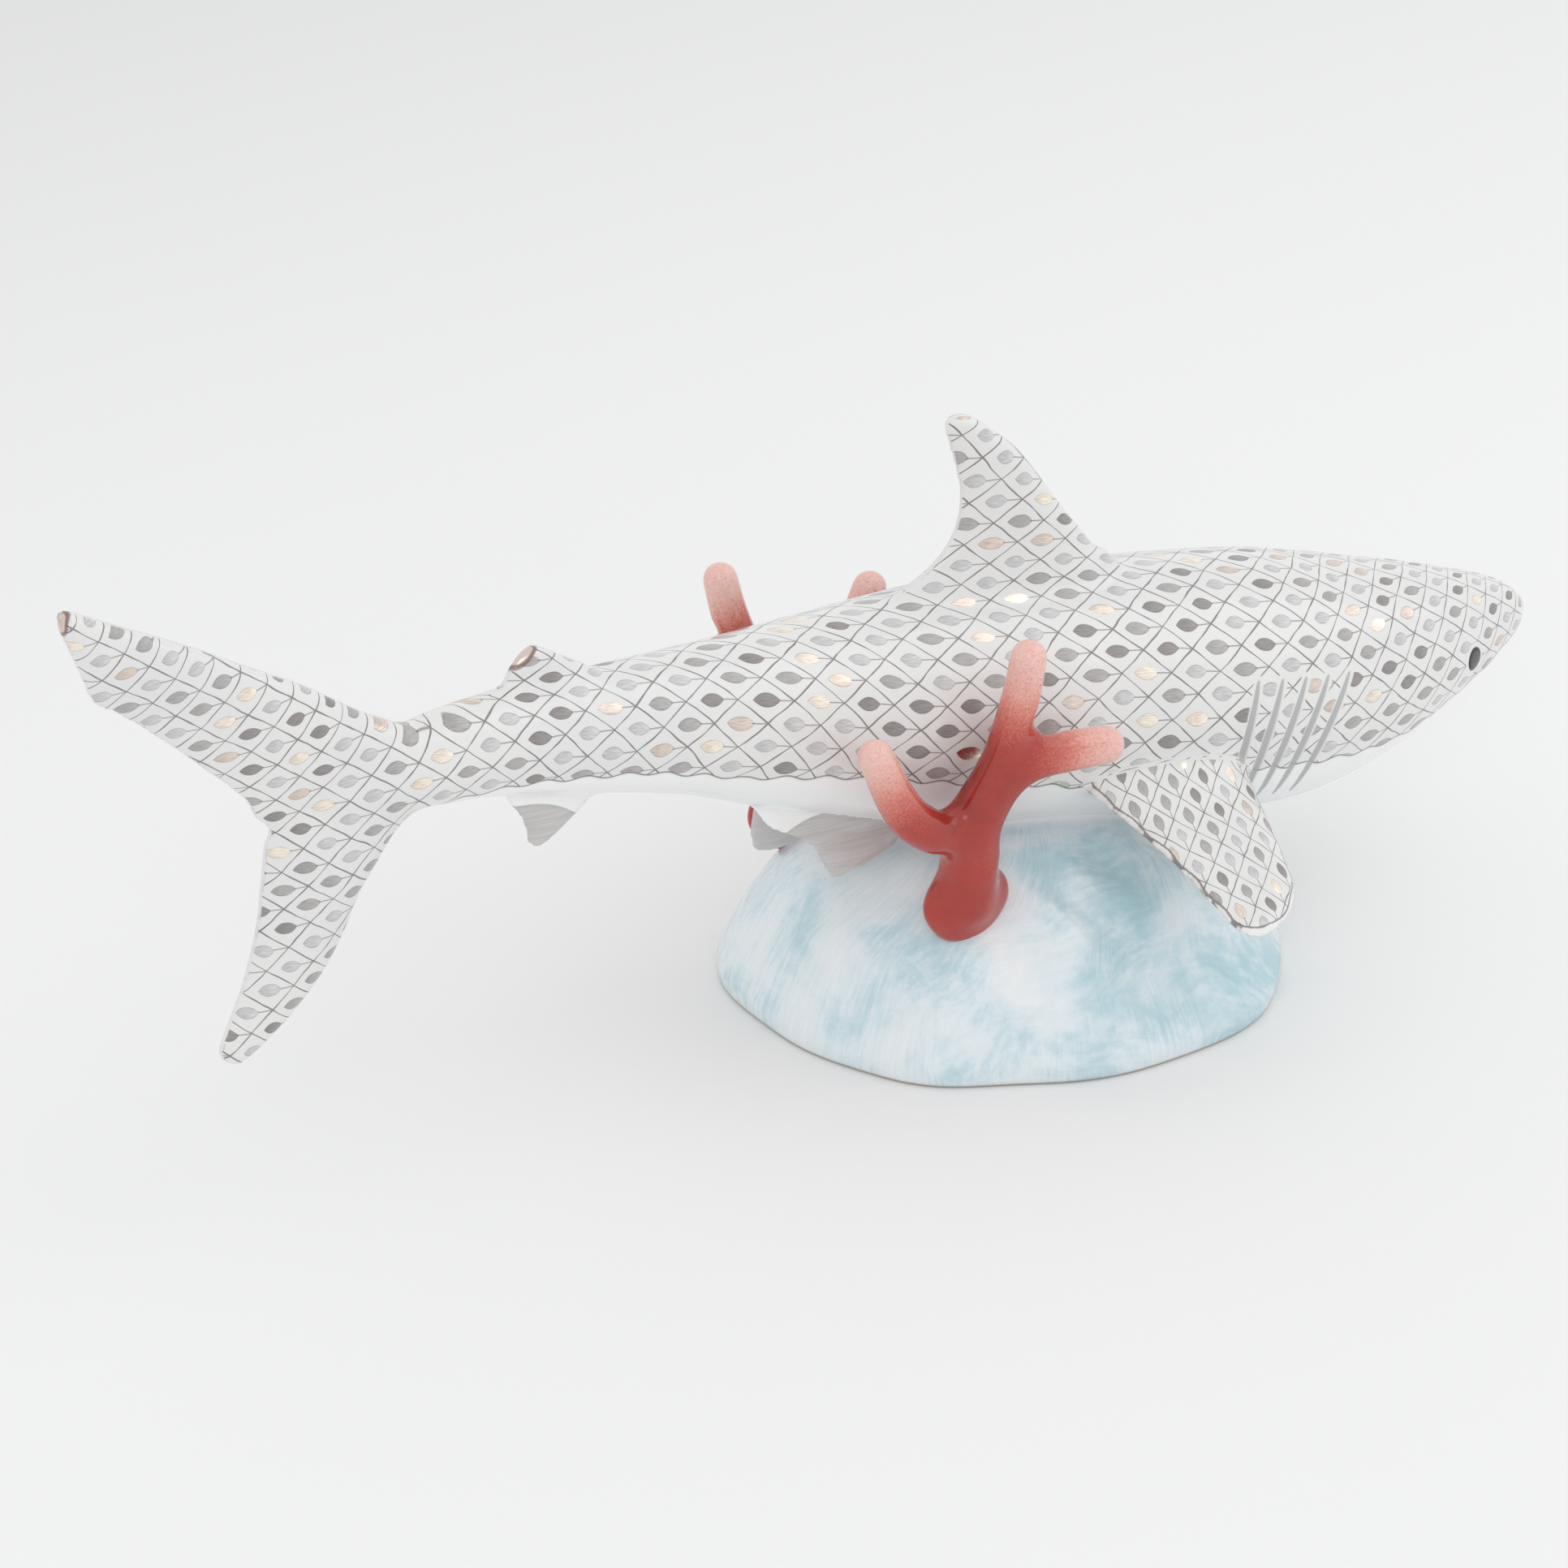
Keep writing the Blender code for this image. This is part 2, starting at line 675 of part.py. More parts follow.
def foot_mesh():
    """Return the solid dome of the foot, with its rounded edge and wave relief."""
    apex = Vector(FOOT_APEX)
    outline = foot_loop()
    rings = []
    for inset, height in ((FOOT_RIM_INSET, 0.0), (0.25 * FOOT_RIM_INSET, 0.45 * FOOT_RIM_HEIGHT)):
        ring = []
        for point in outline:
            reach = point - apex
            edge = apex + reach * (1 - inset / reach.length)
            ring.append((edge.x, edge.y, height))
        rings.append(ring)
    for share in (1.0, *FOOT_RINGS):
        ring = []
        for point in outline:
            place = apex + (point - apex) * share
            ring.append((place.x, place.y, foot_height(share, place.x, place.y)))
        rings.append(ring)
    top = (apex.x, apex.y, foot_height(0.0, apex.x, apex.y))
    return loft(rings, end_pole=top)


def hollow_cutter():
    """Return the cutter of the foot's hollow, one wall in from the foot's own surface."""
    apex = Vector(FOOT_APEX)
    outline = foot_loop()
    rings = []
    for below in (-FOOT_WALL, 0.0):
        ring = []
        for point in outline:
            reach = point - apex
            edge = apex + reach * (1 - (FOOT_RIM_INSET + FOOT_WALL) / reach.length)
            ring.append((edge.x, edge.y, below))
        rings.append(ring)
    crown = foot_crest() - FOOT_CREST_SINK - FOOT_WALL
    for share in HOLLOW_RINGS:
        ring = []
        for point in outline:
            reach = point - apex
            inner = reach * (1 - (FOOT_RIM_INSET + FOOT_WALL) / reach.length)
            place = apex + inner * share
            ring.append((place.x, place.y, hollow_height(share, crown)))
        rings.append(ring)
    return loft(rings, end_pole=(apex.x, apex.y, hollow_height(0.0, crown)))


def hollow_height(share, crown):
    """Return the height of the hollow's roof at a share of the way out to its edge."""
    return crown * (1 - share ** FOOT_ROUNDNESS)


def coral_place(side_sign):
    """Return the turn and the place of one coral. The sign is 1 for the left coral."""
    root = CORAL_LEFT_ROOT if side_sign > 0 else CORAL_RIGHT_ROOT
    place = Matrix.Translation((root[0], root[1], foot_surface(*root)))
    if side_sign > 0:
        place = place @ Matrix.Rotation(math.radians(-CORAL_LEFT_LEAN), 4, "Y")
        return place @ Matrix.Rotation(math.pi, 4, "Z")
    return place


def coral_tube(side_sign, rows):
    """Return one coral branch as a tube on the given side."""
    place = coral_place(side_sign)
    placed = []
    for forward, outward, up, radius in spline(rows, CORAL_STEPS):
        placed.append((*(place @ Vector((forward, -outward, up))), radius))
    return tube_mesh(placed, CORAL_SIDES, ROUND_END_RINGS)


def coral_pad(side_sign):
    """Return the rounded pad by which a coral is seated on the foot."""
    mesh = bmesh.new()
    bmesh.ops.create_uvsphere(mesh, u_segments=PAD_SIDES, v_segments=PAD_RINGS, radius=1.0)
    size = Matrix.Diagonal((CORAL_PAD_HALF_WIDTH, CORAL_PAD_HALF_DEPTH,
                            CORAL_PAD_HALF_HEIGHT, 1.0))
    lift = Matrix.Translation((0.0, 0.0, CORAL_PAD_LIFT))
    place = Matrix.Scale(MM, 4) @ coral_place(side_sign) @ lift @ size
    bmesh.ops.transform(mesh, matrix=place, verts=mesh.verts)
    return mesh


def combine(target, piece, operation):
    """Unite a piece with the target, or cut it away, by an exact Boolean."""
    piece.parent = target.parent
    modifier = target.modifiers.new(piece.name, "BOOLEAN")
    modifier.operation = operation
    modifier.solver = "EXACT"
    modifier.material_mode = "TRANSFER"
    modifier.object = piece
    piece.hide_render = True
    piece.display_type = "WIRE"


def centre_on_origin(figurine, stand):
    """Move the stand so that the figurine's box is centred over the origin in plan."""
    bpy.context.view_layer.update()
    evaluated = figurine.evaluated_get(bpy.context.evaluated_depsgraph_get())
    corners = [Vector(corner) for corner in evaluated.bound_box]
    for axis in (0, 1):
        values = [corner[axis] for corner in corners]
        stand.location[axis] = -(min(values) + max(values)) / 2
    bpy.context.view_layer.update()


def build():
    """Model the figurine and return it."""
    clear_scene()
    glazes = (
        glaze("white_glaze", WHITE_GLAZE),
        glaze("wave_glaze", WAVE_GLAZE),
        glaze("coral_glaze", CORAL_GLAZE),
    )
    stand = bpy.data.objects.new("stand", None)
    bpy.context.scene.collection.objects.link(stand)
    figurine = make_object("shark_figurine", body_mesh(), glazes, 0)
    figurine.parent = stand
    fins = {
        "dorsal_fin": dorsal_mesh(),
        "rear_dorsal_fin": rear_dorsal_mesh(),
        "anal_fin": anal_mesh(),
        "upper_tail_lobe": lobe_mesh(UPPER_LOBE_ROWS, UPPER_LOBE_TIP, UPPER_LOBE_BACK,
                                     UPPER_LOBE_UP),
        "lower_tail_lobe": lobe_mesh(LOWER_LOBE_ROWS, LOWER_LOBE_TIP, LOWER_LOBE_BACK,
                                     -LOWER_LOBE_DOWN),
        "left_pectoral_fin": pectoral_mesh(1),
        "right_pectoral_fin": pectoral_mesh(-1),
        "left_pelvic_fin": pelvic_mesh(1),
        "right_pelvic_fin": pelvic_mesh(-1),
    }
    for name, mesh in fins.items():
        combine(figurine, make_object(name, mesh, glazes, 0), "UNION")
    for side_sign, side_name in ((1, "left"), (-1, "right")):
        for index in range(GILL_COUNT):
            groove = make_object(f"{side_name}_gill_{index + 1}", gill_cutter(side_sign, index),
                                 glazes, 0)
            combine(figurine, groove, "DIFFERENCE")
    combine(figurine, make_object("foot_dome", foot_mesh(), glazes, 1), "UNION")
    for side_sign, side_name in ((1, "left"), (-1, "right")):
        branches = {
            "pad": coral_pad(side_sign),
            "stem": coral_tube(side_sign, CORAL_STEM),
            "rear_finger": coral_tube(side_sign, CORAL_REAR_FINGER),
            "front_finger": coral_tube(side_sign, CORAL_FRONT_FINGER),
        }
        for name, mesh in branches.items():
            branch = make_object(f"{side_name}_coral_{name}", mesh, glazes, 2)
            combine(figurine, branch, "UNION")
    combine(figurine, make_object("foot_hollow", hollow_cutter(), glazes, 1), "DIFFERENCE")
    seam = figurine.modifiers.new("seam_weld", "WELD")
    seam.merge_threshold = SEAM_WELD * MM
    centre_on_origin(figurine, stand)
    return figurine


build()
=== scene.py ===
"""Porcelain shark figurine, dressed: painted shark, wave foot and two coral branches.

Sizes are in millimetres in the foot's own frame (X towards the snout, Y to the shark's left,
Z up, the foot centred over the origin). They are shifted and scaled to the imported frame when
a mesh is made.
"""

import logging
import math
from collections.abc import Callable, Sequence
from dataclasses import dataclass, field
from enum import Enum

import bmesh
import bpy
import numpy as np
from mathutils import Matrix, Vector
from mathutils.bvhtree import BVHTree


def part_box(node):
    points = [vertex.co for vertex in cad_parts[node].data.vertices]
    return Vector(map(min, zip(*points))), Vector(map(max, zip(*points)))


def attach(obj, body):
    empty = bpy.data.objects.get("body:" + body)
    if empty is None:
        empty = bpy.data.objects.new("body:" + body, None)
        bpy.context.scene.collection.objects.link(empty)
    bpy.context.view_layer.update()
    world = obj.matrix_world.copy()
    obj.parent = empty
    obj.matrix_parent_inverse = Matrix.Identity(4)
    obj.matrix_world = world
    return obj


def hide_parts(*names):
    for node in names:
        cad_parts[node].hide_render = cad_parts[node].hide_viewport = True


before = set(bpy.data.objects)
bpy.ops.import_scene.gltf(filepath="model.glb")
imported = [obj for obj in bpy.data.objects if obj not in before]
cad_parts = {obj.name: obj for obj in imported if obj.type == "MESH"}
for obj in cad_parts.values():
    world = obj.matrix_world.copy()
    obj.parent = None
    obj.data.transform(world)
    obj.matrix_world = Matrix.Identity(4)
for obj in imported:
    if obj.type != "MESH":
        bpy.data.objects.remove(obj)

MM = 0.001
NODE = "shark_figurine"
BODY = "root"
UP = np.array((0.0, 0.0, 1.0))
FAR = 99.0

Row = tuple[float, ...]
Colour = tuple[float, float, float]
Array = np.ndarray
Socket = bpy.types.NodeSocket

log = logging.getLogger("shark")


class Side(Enum):
    """Side of the shark, with the sign of Y there."""

    LEFT = 1
    RIGHT = -1


class Lobe(Enum):
    """Lobe of the tail fin, with the sign of Z there."""

    UPPER = 1
    LOWER = -1


@dataclass
class Skin:
    """A closed surface as points in millimetres and faces."""

    points: Array
    faces: list[list[int]]

    def tree(self) -> BVHTree:
        """Return a search tree over the surface."""
        return BVHTree.FromPolygons(self.points.tolist(), self.faces)

    def low(self) -> Array:
        """Return the lowest corner of the surface's box."""
        return self.points.min(axis=0)

    def high(self) -> Array:
        """Return the highest corner of the surface's box."""
        return self.points.max(axis=0)


def unit(vector: Array) -> Array:
    """Return a vector, or each row of vectors, at length one."""
    return vector / np.linalg.norm(vector, axis=-1, keepdims=True)


def smooth_share(value: Array, low: float, high: float) -> Array:
    """Return a soft step from 0 at low to 1 at high.

    Args:
        value: Numbers to step over.
        low: Value at and below which the step is 0.
        high: Value at and above which the step is 1.

    Returns:
        The step at each number.
    """
    share = np.clip((value - low) / (high - low), 0.0, 1.0)
    return share * share * (3.0 - 2.0 * share)


def spline(rows: Sequence[Row], steps: int, closed: bool = False) -> Array:
    """Return points along a smooth curve through rows of numbers.

    Args:
        rows: Knots of the curve, of any width.
        steps: Points to each span.
        closed: Whether the last knot runs on to the first.

    Returns:
        One row of numbers for each point of the curve.
    """
    knots = np.asarray(rows, dtype=float)
    if closed:
        padded = np.vstack((knots[-1:], knots, knots[:2]))
    else:
        padded = np.vstack((knots[:1], knots, knots[-1:]))
    share = (np.arange(steps) / steps)[:, None]
    spans = []
    for before, start, end, after in zip(padded, padded[1:], padded[2:], padded[3:]):
        slope_in = (end - before) / 2
        slope_out = (after - start) / 2
        cube = 2 * start - 2 * end + slope_in + slope_out
        square = 3 * end - 3 * start - 2 * slope_in - slope_out
        spans.append(((cube * share + square) * share + slope_in) * share + start)
    if not closed:
        spans.append(knots[-1:])
    return np.vstack(spans)


def loft(rings: Array, start_pole: Array | None = None, end_pole: Array | None = None) -> Skin:
    """Return a closed surface skinned over rings.

    Args:
        rings: Rings of points, all with the same count.
        start_pole: Point that closes the first ring, or None for a flat face.
        end_pole: Point that closes the last ring, or None for a flat face.

    Returns:
        The surface, with its faces pointing out where the rings turn that way.
    """
    count, sides = rings.shape[:2]
    points = [rings.reshape(-1, 3)]
    grid = np.arange(count * sides).reshape(count, sides)
    follow = np.roll(grid, -1, axis=1)
    quads = np.stack((grid[:-1], follow[:-1], follow[1:], grid[1:]), axis=-1)
    faces = quads.reshape(-1, 4).tolist()
    total = count * sides
    for pole, ring in ((start_pole, grid[0][::-1]), (end_pole, grid[-1])):
        if pole is None:
            faces.append(ring.tolist())
            continue
        points.append(np.asarray(pole, dtype=float).reshape(1, 3))
        faces.extend([[int(a), int(b), total] for a, b in zip(ring, np.roll(ring, -1))])
        total += 1
    return Skin(np.vstack(points), faces)


def oval(centre: Array, across: Array, upward: Array, sides: int, lean: float = 0.0) -> Array:
    """Return the points of an oval ring.

    Args:
        centre: Centre of the ring.
        across: First half axis.
        upward: Second half axis.
        sides: Number of points.
        lean: How much thicker the oval is towards the end of its first half axis.

    Returns:
        The ring's points.
    """
    angle = 2 * np.pi * np.arange(sides) / sides
    thick = np.sin(angle) * (1.0 + lean * np.cos(angle))
    return centre + np.cos(angle)[:, None] * across + thick[:, None] * upward


@dataclass
class BodyPlaces:
    """Where points lie relative to the spine: station, offsets and the body's half sizes."""

    station: Array
    across: Array
    above: Array
    half_width: Array
    half_height: Array

    def turn(self) -> Array:
        """Return each point's angle above the body's lateral line, up to a quarter turn."""
        return np.arctan2(self.above / self.half_height, np.abs(self.across) / self.half_width)

    def fullness(self) -> Array:
        """Return how far out each point lies, 1 on the body's skin."""
        return np.hypot(self.above / self.half_height, self.across / self.half_width)

    def way_round(self, turn: Array, slices: int = 12) -> Array:
        """Return the way round the body from the lateral line to each angle.

        Args:
            turn: Each point's angle above the lateral line.
            slices: Number of steps summed.

        Returns:
            The ways in millimetres.
        """
        way = np.zeros(len(turn))
        for index in range(slices):
            angle = turn * (index + 0.5) / slices
            way += np.hypot(self.half_width * np.sin(angle), self.half_height * np.cos(angle))
        return way * turn / slices


@dataclass
class Spine:
    """The shark's spine: its course and the body's half height and half width along it."""

    stations: tuple[Row, ...] = (
        (128.4, 0.0, 49.4, 2.8, 3.2),
        (124.8, 0.0, 49.4, 6.1, 6.9),
        (118.0, 0.2, 49.1, 9.8, 10.8),
        (109.0, 0.3, 48.6, 13.5, 14.9),
        (96.0, 0.5, 48.3, 18.1, 19.7),
        (82.0, 0.7, 48.0, 22.5, 23.9),
        (64.0, 0.9, 49.0, 26.3, 26.9),
        (40.0, 1.2, 53.0, 27.2, 27.6),
        (10.0, 1.5, 58.7, 26.1, 26.2),
        (-20.0, 1.2, 63.9, 23.9, 23.6),
        (-50.0, -0.3, 70.3, 19.2, 18.6),
        (-75.0, -3.9, 77.5, 14.7, 13.8),
        (-100.0, -7.1, 83.2, 11.9, 10.8),
        (-122.0, -9.5, 87.0, 9.8, 8.6),
        (-140.0, -11.2, 87.8, 8.1, 7.0),
        (-155.0, -12.4, 87.6, 6.4, 5.0),
    )
    snout_length: float = 1.8
    tail_end_length: float = 3.0
    run_on: float = 90.0
    sides: int = 160
    steps: int = 12
    table: Array = field(init=False)

    def __post_init__(self) -> None:
        """Tabulate the spine finely, with straight runs past both ends."""
        dense = spline(self.stations, 40)[::-1]
        slope = (dense[0, :3] - dense[20, :3]) / (dense[20, 0] - dense[0, 0])
        behind = dense[0].copy()
        behind[:3] += slope * self.run_on
        ahead = dense[-1].copy()
        ahead[0] += self.run_on
        self.table = np.vstack((behind, dense, ahead))

    def at(self, station: Array) -> Array:
        """Return the spine's rows at the given stations.

        Args:
            station: Places along the spine.

        Returns:
            A row for each: X, Y, Z, half height and half width.
        """
        station = np.atleast_1d(station)
        columns = [np.interp(station, self.table[:, 0], self.table[:, k]) for k in range(1, 5)]
        return np.stack((station, *columns), axis=-1)

    def heading(self, station: Array, reach: float = 2.0) -> Array:
        """Return the unit directions towards the snout at the given stations."""
        return unit(self.at(station + reach)[:, :3] - self.at(station - reach)[:, :3])

    def axes(self, station: Array) -> tuple[Array, Array, Array]:
        """Return the heading, sideways and upward unit axes at the given stations.

        Args:
            station: Places along the spine.

        Returns:
            The three axes, each with a row for each station.
        """
        heading = self.heading(np.atleast_1d(station))
        side = unit(np.cross(UP, heading))
        return heading, side, np.cross(heading, side)

    def level_heading(self, station: float) -> Array:
        """Return the spine's direction at one station, laid level."""
        heading = self.heading(np.atleast_1d(station))[0]
        return unit(heading * (1.0, 1.0, 0.0))

    def skin_point(self, station: float, degrees: float, proud: float = 0.0) -> Array:
        """Return a point on the body's skin.

        Args:
            station: Place along the spine.
            degrees: Angle above the left side.
            proud: Height above the skin.

        Returns:
            The point.
        """
        row = self.at(station)[0]
        _, side, up = self.axes(station)
        angle = math.radians(degrees)
        return (row[:3] + side[0] * math.cos(angle) * (row[4] + proud)
                + up[0] * math.sin(angle) * (row[3] + proud))

    def locate(self, points: Array) -> BodyPlaces:
        """Return where points lie relative to the spine.

        Args:
            points: Points in millimetres.

        Returns:
            Their stations, offsets and the body's half sizes there.
        """
        station = points[:, 0].copy()
        for _ in range(5):
            rows = self.at(station)
            heading = self.heading(station)
            station += np.einsum("ij,ij->i", points - rows[:, :3], heading) / heading[:, 0]
        rows = self.at(station)
        _, side, up = self.axes(station)
        offset = points - rows[:, :3]
        return BodyPlaces(station, np.einsum("ij,ij->i", offset, side),
                          np.einsum("ij,ij->i", offset, up), rows[:, 4], rows[:, 3])

    def belly_height(self, x: Array, y: Array) -> Array:
        """Return the height of the belly's underside, or FAR where the body isn't overhead.

        Args:
            x: Places along X.
            y: Places along Y.

        Returns:
            The heights.
        """
        rows = self.at(x)
        share = (y - rows[:, 1]) / rows[:, 4]
        under = np.sqrt(np.clip(1.0 - share ** 2, 0.0, 1.0))
        return np.where(np.abs(share) < 1.0, rows[:, 2] - rows[:, 3] * under, FAR)

    def skin(self) -> Skin:
        """Return the body's surface from snout to tail.

        Returns:
            The surface.
        """
        rows = spline(self.stations, self.steps)
        rings = []
        for row in rows:
            _, side, up = self.axes(row[0])
            rings.append(oval(row[:3], side[0] * row[4], up[0] * row[3], self.sides))
        first = rows[0]
        for share in (0.25, 0.5, 0.75, 0.9, 0.97):
            narrow = math.sqrt(1.0 - share)
            centre = first[:3] + (self.snout_length * share, 0.0, 0.0)
            _, side, up = self.axes(first[0])
            rings.insert(0, oval(centre, side[0] * first[4] * narrow, up[0] * first[3] * narrow,
                                 self.sides))
        return loft(np.array(rings), first[:3] + (self.snout_length, 0.0, 0.0),
                    rows[-1][:3] - (self.tail_end_length, 0.0, 0.0))


@dataclass
class Fin:
    """A fin skinned over rows: height share, leading edge and trailing edge as chord shares."""

    origin: Array
    forward: Array
    outward: Array
    rows: tuple[Row, ...]
    tip: Row
    height: float
    chord: float
    root_thickness: float
    tip_thickness: float
    flare_share: float = 0.3
    flare_thickness: float = 2.6
    sides: int = 72
    steps: int = 8
    lean: float = 0.4

    def thickness(self, share: float) -> float:
        """Return the thickness at a share of the height, flared where it leaves the body.

        Args:
            share: Share of the fin's height.

        Returns:
            The thickness in millimetres.
        """
        share = max(share, 0.0)
        flare = max(0.0, 1.0 - share / self.flare_share) ** 2
        taper = self.root_thickness + (self.tip_thickness - self.root_thickness) * share
        return taper + flare * self.flare_thickness

    def tip_point(self) -> Array:
        """Return the point of the tip."""
        return (self.origin + self.outward * self.tip[0] * self.height
                + self.forward * self.tip[1] * self.chord)

    def skin(self) -> Skin:
        """Return the fin's surface, closed by a flat face inside the body.

        Returns:
            The surface.
        """
        normal = unit(np.cross(self.forward, self.outward))
        rings = []
        for share, lead, trail in spline(self.rows, self.steps):
            centre = (self.origin + self.outward * share * self.height
                      + self.forward * (lead + trail) / 2 * self.chord)
            along = self.forward * (lead - trail) / 2 * self.chord
            narrow = min(1.0, (lead - trail) * self.chord / (2 * self.tip_thickness) + 0.35)
            thick = normal * self.thickness(share) / 2 * narrow
            rings.append(oval(centre, along, thick, self.sides, self.lean))
        return loft(np.array(rings), end_pole=self.tip_point())

    def chart(self, points: Array) -> tuple[Array, Array, Array]:
        """Return how far points lie forward, outward and across the fin from its origin.

        Args:
            points: Points.

        Returns:
            The three distances of each point.
        """
        offset = points - self.origin
        across = unit(np.cross(self.forward, self.outward))
        ahead = offset @ self.forward
        out = offset @ self.outward
        skew = float(self.forward @ self.outward)
        square = 1.0 - skew ** 2
        return (ahead - skew * out) / square, (out - skew * ahead) / square, offset @ across

    def edge_distance(self, points: Array) -> Array:
        """Return how far points lie inside the fin's outline, in the plane of the fin.

        Args:
            points: Points.

        Returns:
            The distances, below zero outside the outline.
        """
        ahead, out, _ = self.chart(points)
        dense = spline((*self.rows, (self.tip[0], self.tip[1], self.tip[1])), self.steps)
        lead = np.interp(out, dense[:, 0] * self.height, dense[:, 1] * self.chord)
        trail = np.interp(out, dense[:, 0] * self.height, dense[:, 2] * self.chord)
        lean = np.gradient(dense[:, 1] - dense[:, 2]) / np.gradient(dense[:, 0])
        slope = np.interp(out, dense[:, 0] * self.height, lean) * self.chord / self.height / 2
        return np.minimum(lead - ahead, ahead - trail) / np.hypot(1.0, slope)


@dataclass
class TailLobe:
    """One lobe of the tail fin. Rows give its front and rear edges as shares of its reach."""

    lobe: Lobe
    rows: tuple[Row, ...]
    tip: Row
    back: float
    rise: float
    station: float = -150.0
    root_thickness: float = 11.0
    tip_thickness: float = 4.2
    thinning: float = 0.6
    sides: int = 72
    steps: int = 8
    lean: float = 0.4

    def place(self, spine: Spine, back: float, rise: float) -> Array:
        """Return a point of the lobe's plane at shares of its reach back and up or down.

        Args:
            spine: The spine.
            back: Share of the reach back.
            rise: Share of the reach up or down.

        Returns:
            The point.
        """
        origin = spine.at(self.station)[0, :3]
        heading = spine.level_heading(self.station)
        return origin - heading * back * self.back + UP * rise * self.rise * self.lobe.value

    def skin(self, spine: Spine) -> Skin:
        """Return the lobe's surface, skinned over chords that fan out from the spine.

        Args:
            spine: The spine.

        Returns:
            The surface.
        """
        side = unit(np.cross(UP, spine.level_heading(self.station)))
        rows = spline(self.rows, self.steps)
        rings = []
        for index, (front_back, front_up, rear_back, rear_up) in enumerate(rows):
            front = self.place(spine, front_back, front_up)
            rear = self.place(spine, rear_back, rear_up)
            share = index / (len(rows) + self.steps)
            taper = share ** self.thinning
            thick = self.root_thickness + (self.tip_thickness - self.root_thickness) * taper
            rings.append(oval((front + rear) / 2, (front - rear) / 2, side * thick / 2,
                              self.sides, self.lean))
        return loft(np.array(rings), end_pole=self.place(spine, *self.tip))


UPPER_LOBE = TailLobe(
    Lobe.UPPER,
    (
        (-0.26, 0.16, -0.26, -0.15),
        (-0.07, 0.28, 0.05, -0.15),
        (0.146, 0.458, 0.31, -0.08),
        (0.282, 0.552, 0.395, 0.075),
        (0.40, 0.634, 0.53, 0.24),
        (0.53, 0.727, 0.649, 0.378),
        (0.65, 0.805, 0.752, 0.488),
        (0.755, 0.872, 0.845, 0.577),
        (0.84, 0.926, 0.908, 0.625),
        (0.905, 0.968, 0.942, 0.735),
        (0.955, 1.0, 0.978, 0.852),
        (0.985, 1.012, 1.002, 0.93),
    ),
    tip=(1.008, 0.985), back=54.0, rise=50.0,
)
LOWER_LOBE = TailLobe(
    Lobe.LOWER,
    (
        (-0.52, 0.15, -0.52, -0.15),
        (-0.31, 0.225, 0.21, -0.19),
        (-0.137, 0.354, 0.579, 0.063),
        (-0.01, 0.455, 0.653, 0.244),
        (0.116, 0.596, 0.705, 0.426),
        (0.274, 0.731, 0.765, 0.56),
        (0.474, 0.846, 0.849, 0.70),
        (0.667, 0.929, 0.945, 0.82),
        (0.81, 0.976, 1.015, 0.91),
        (0.905, 1.0, 1.03, 0.955),
    ),
    tip=(0.985, 1.0), back=28.9, rise=49.5,
)


def dorsal_fin(spine: Spine) -> Fin:
    """Return the first dorsal fin.

    Args:
        spine: The spine.

    Returns:
        The fin.
    """
    station = -4.2
    return Fin(
        spine.skin_point(station, 90.0), spine.level_heading(station), UP,
        (
            (-0.25, 0.62, -0.66), (0.00, 0.50, -0.62), (0.09, 0.41, -0.52),
            (0.20, 0.345, -0.37), (0.35, 0.255, -0.268), (0.55, 0.145, -0.238),
            (0.75, 0.03, -0.268), (0.90, -0.10, -0.303), (0.97, -0.165, -0.315),
            (1.00, -0.205, -0.305),
        ),
        tip=(1.02, -0.255), height=38.2, chord=49.0,
        root_thickness=9.5, tip_thickness=4.4,
    )


def rear_dorsal_fin(spine: Spine) -> Fin:
    """Return the small second dorsal fin.

    Args:
        spine: The spine.

    Returns:
        The fin.
    """
    station = -112.0
    return Fin(
        spine.skin_point(station, 90.0), spine.level_heading(station), UP,
        (
            (-0.45, 0.74, -0.66), (0.02, 0.54, -0.50), (0.28, 0.40, -0.32),
            (0.54, 0.27, -0.25), (0.78, 0.15, -0.175), (0.94, 0.07, -0.10),
        ),
        tip=(1.02, -0.02), height=8.1, chord=24.0,
        root_thickness=5.6, tip_thickness=3.4,
    )


def anal_fin(spine: Spine) -> Fin:
    """Return the anal fin under the tail.

    Args:
        spine: The spine.

    Returns:
        The fin.
    """
    station = -108.0
    return Fin(
        spine.skin_point(station, -90.0), spine.level_heading(station), -UP,
        (
            (-0.45, 0.80, -0.45), (0.02, 0.67, -0.29), (0.28, 0.55, -0.21),
            (0.46, 0.44, -0.165), (0.64, 0.30, -0.13), (0.82, 0.15, -0.115),
            (0.95, 0.035, -0.10),
        ),
        tip=(1.01, -0.04), height=11.8, chord=24.0,
        root_thickness=5.4, tip_thickness=3.2,
    )


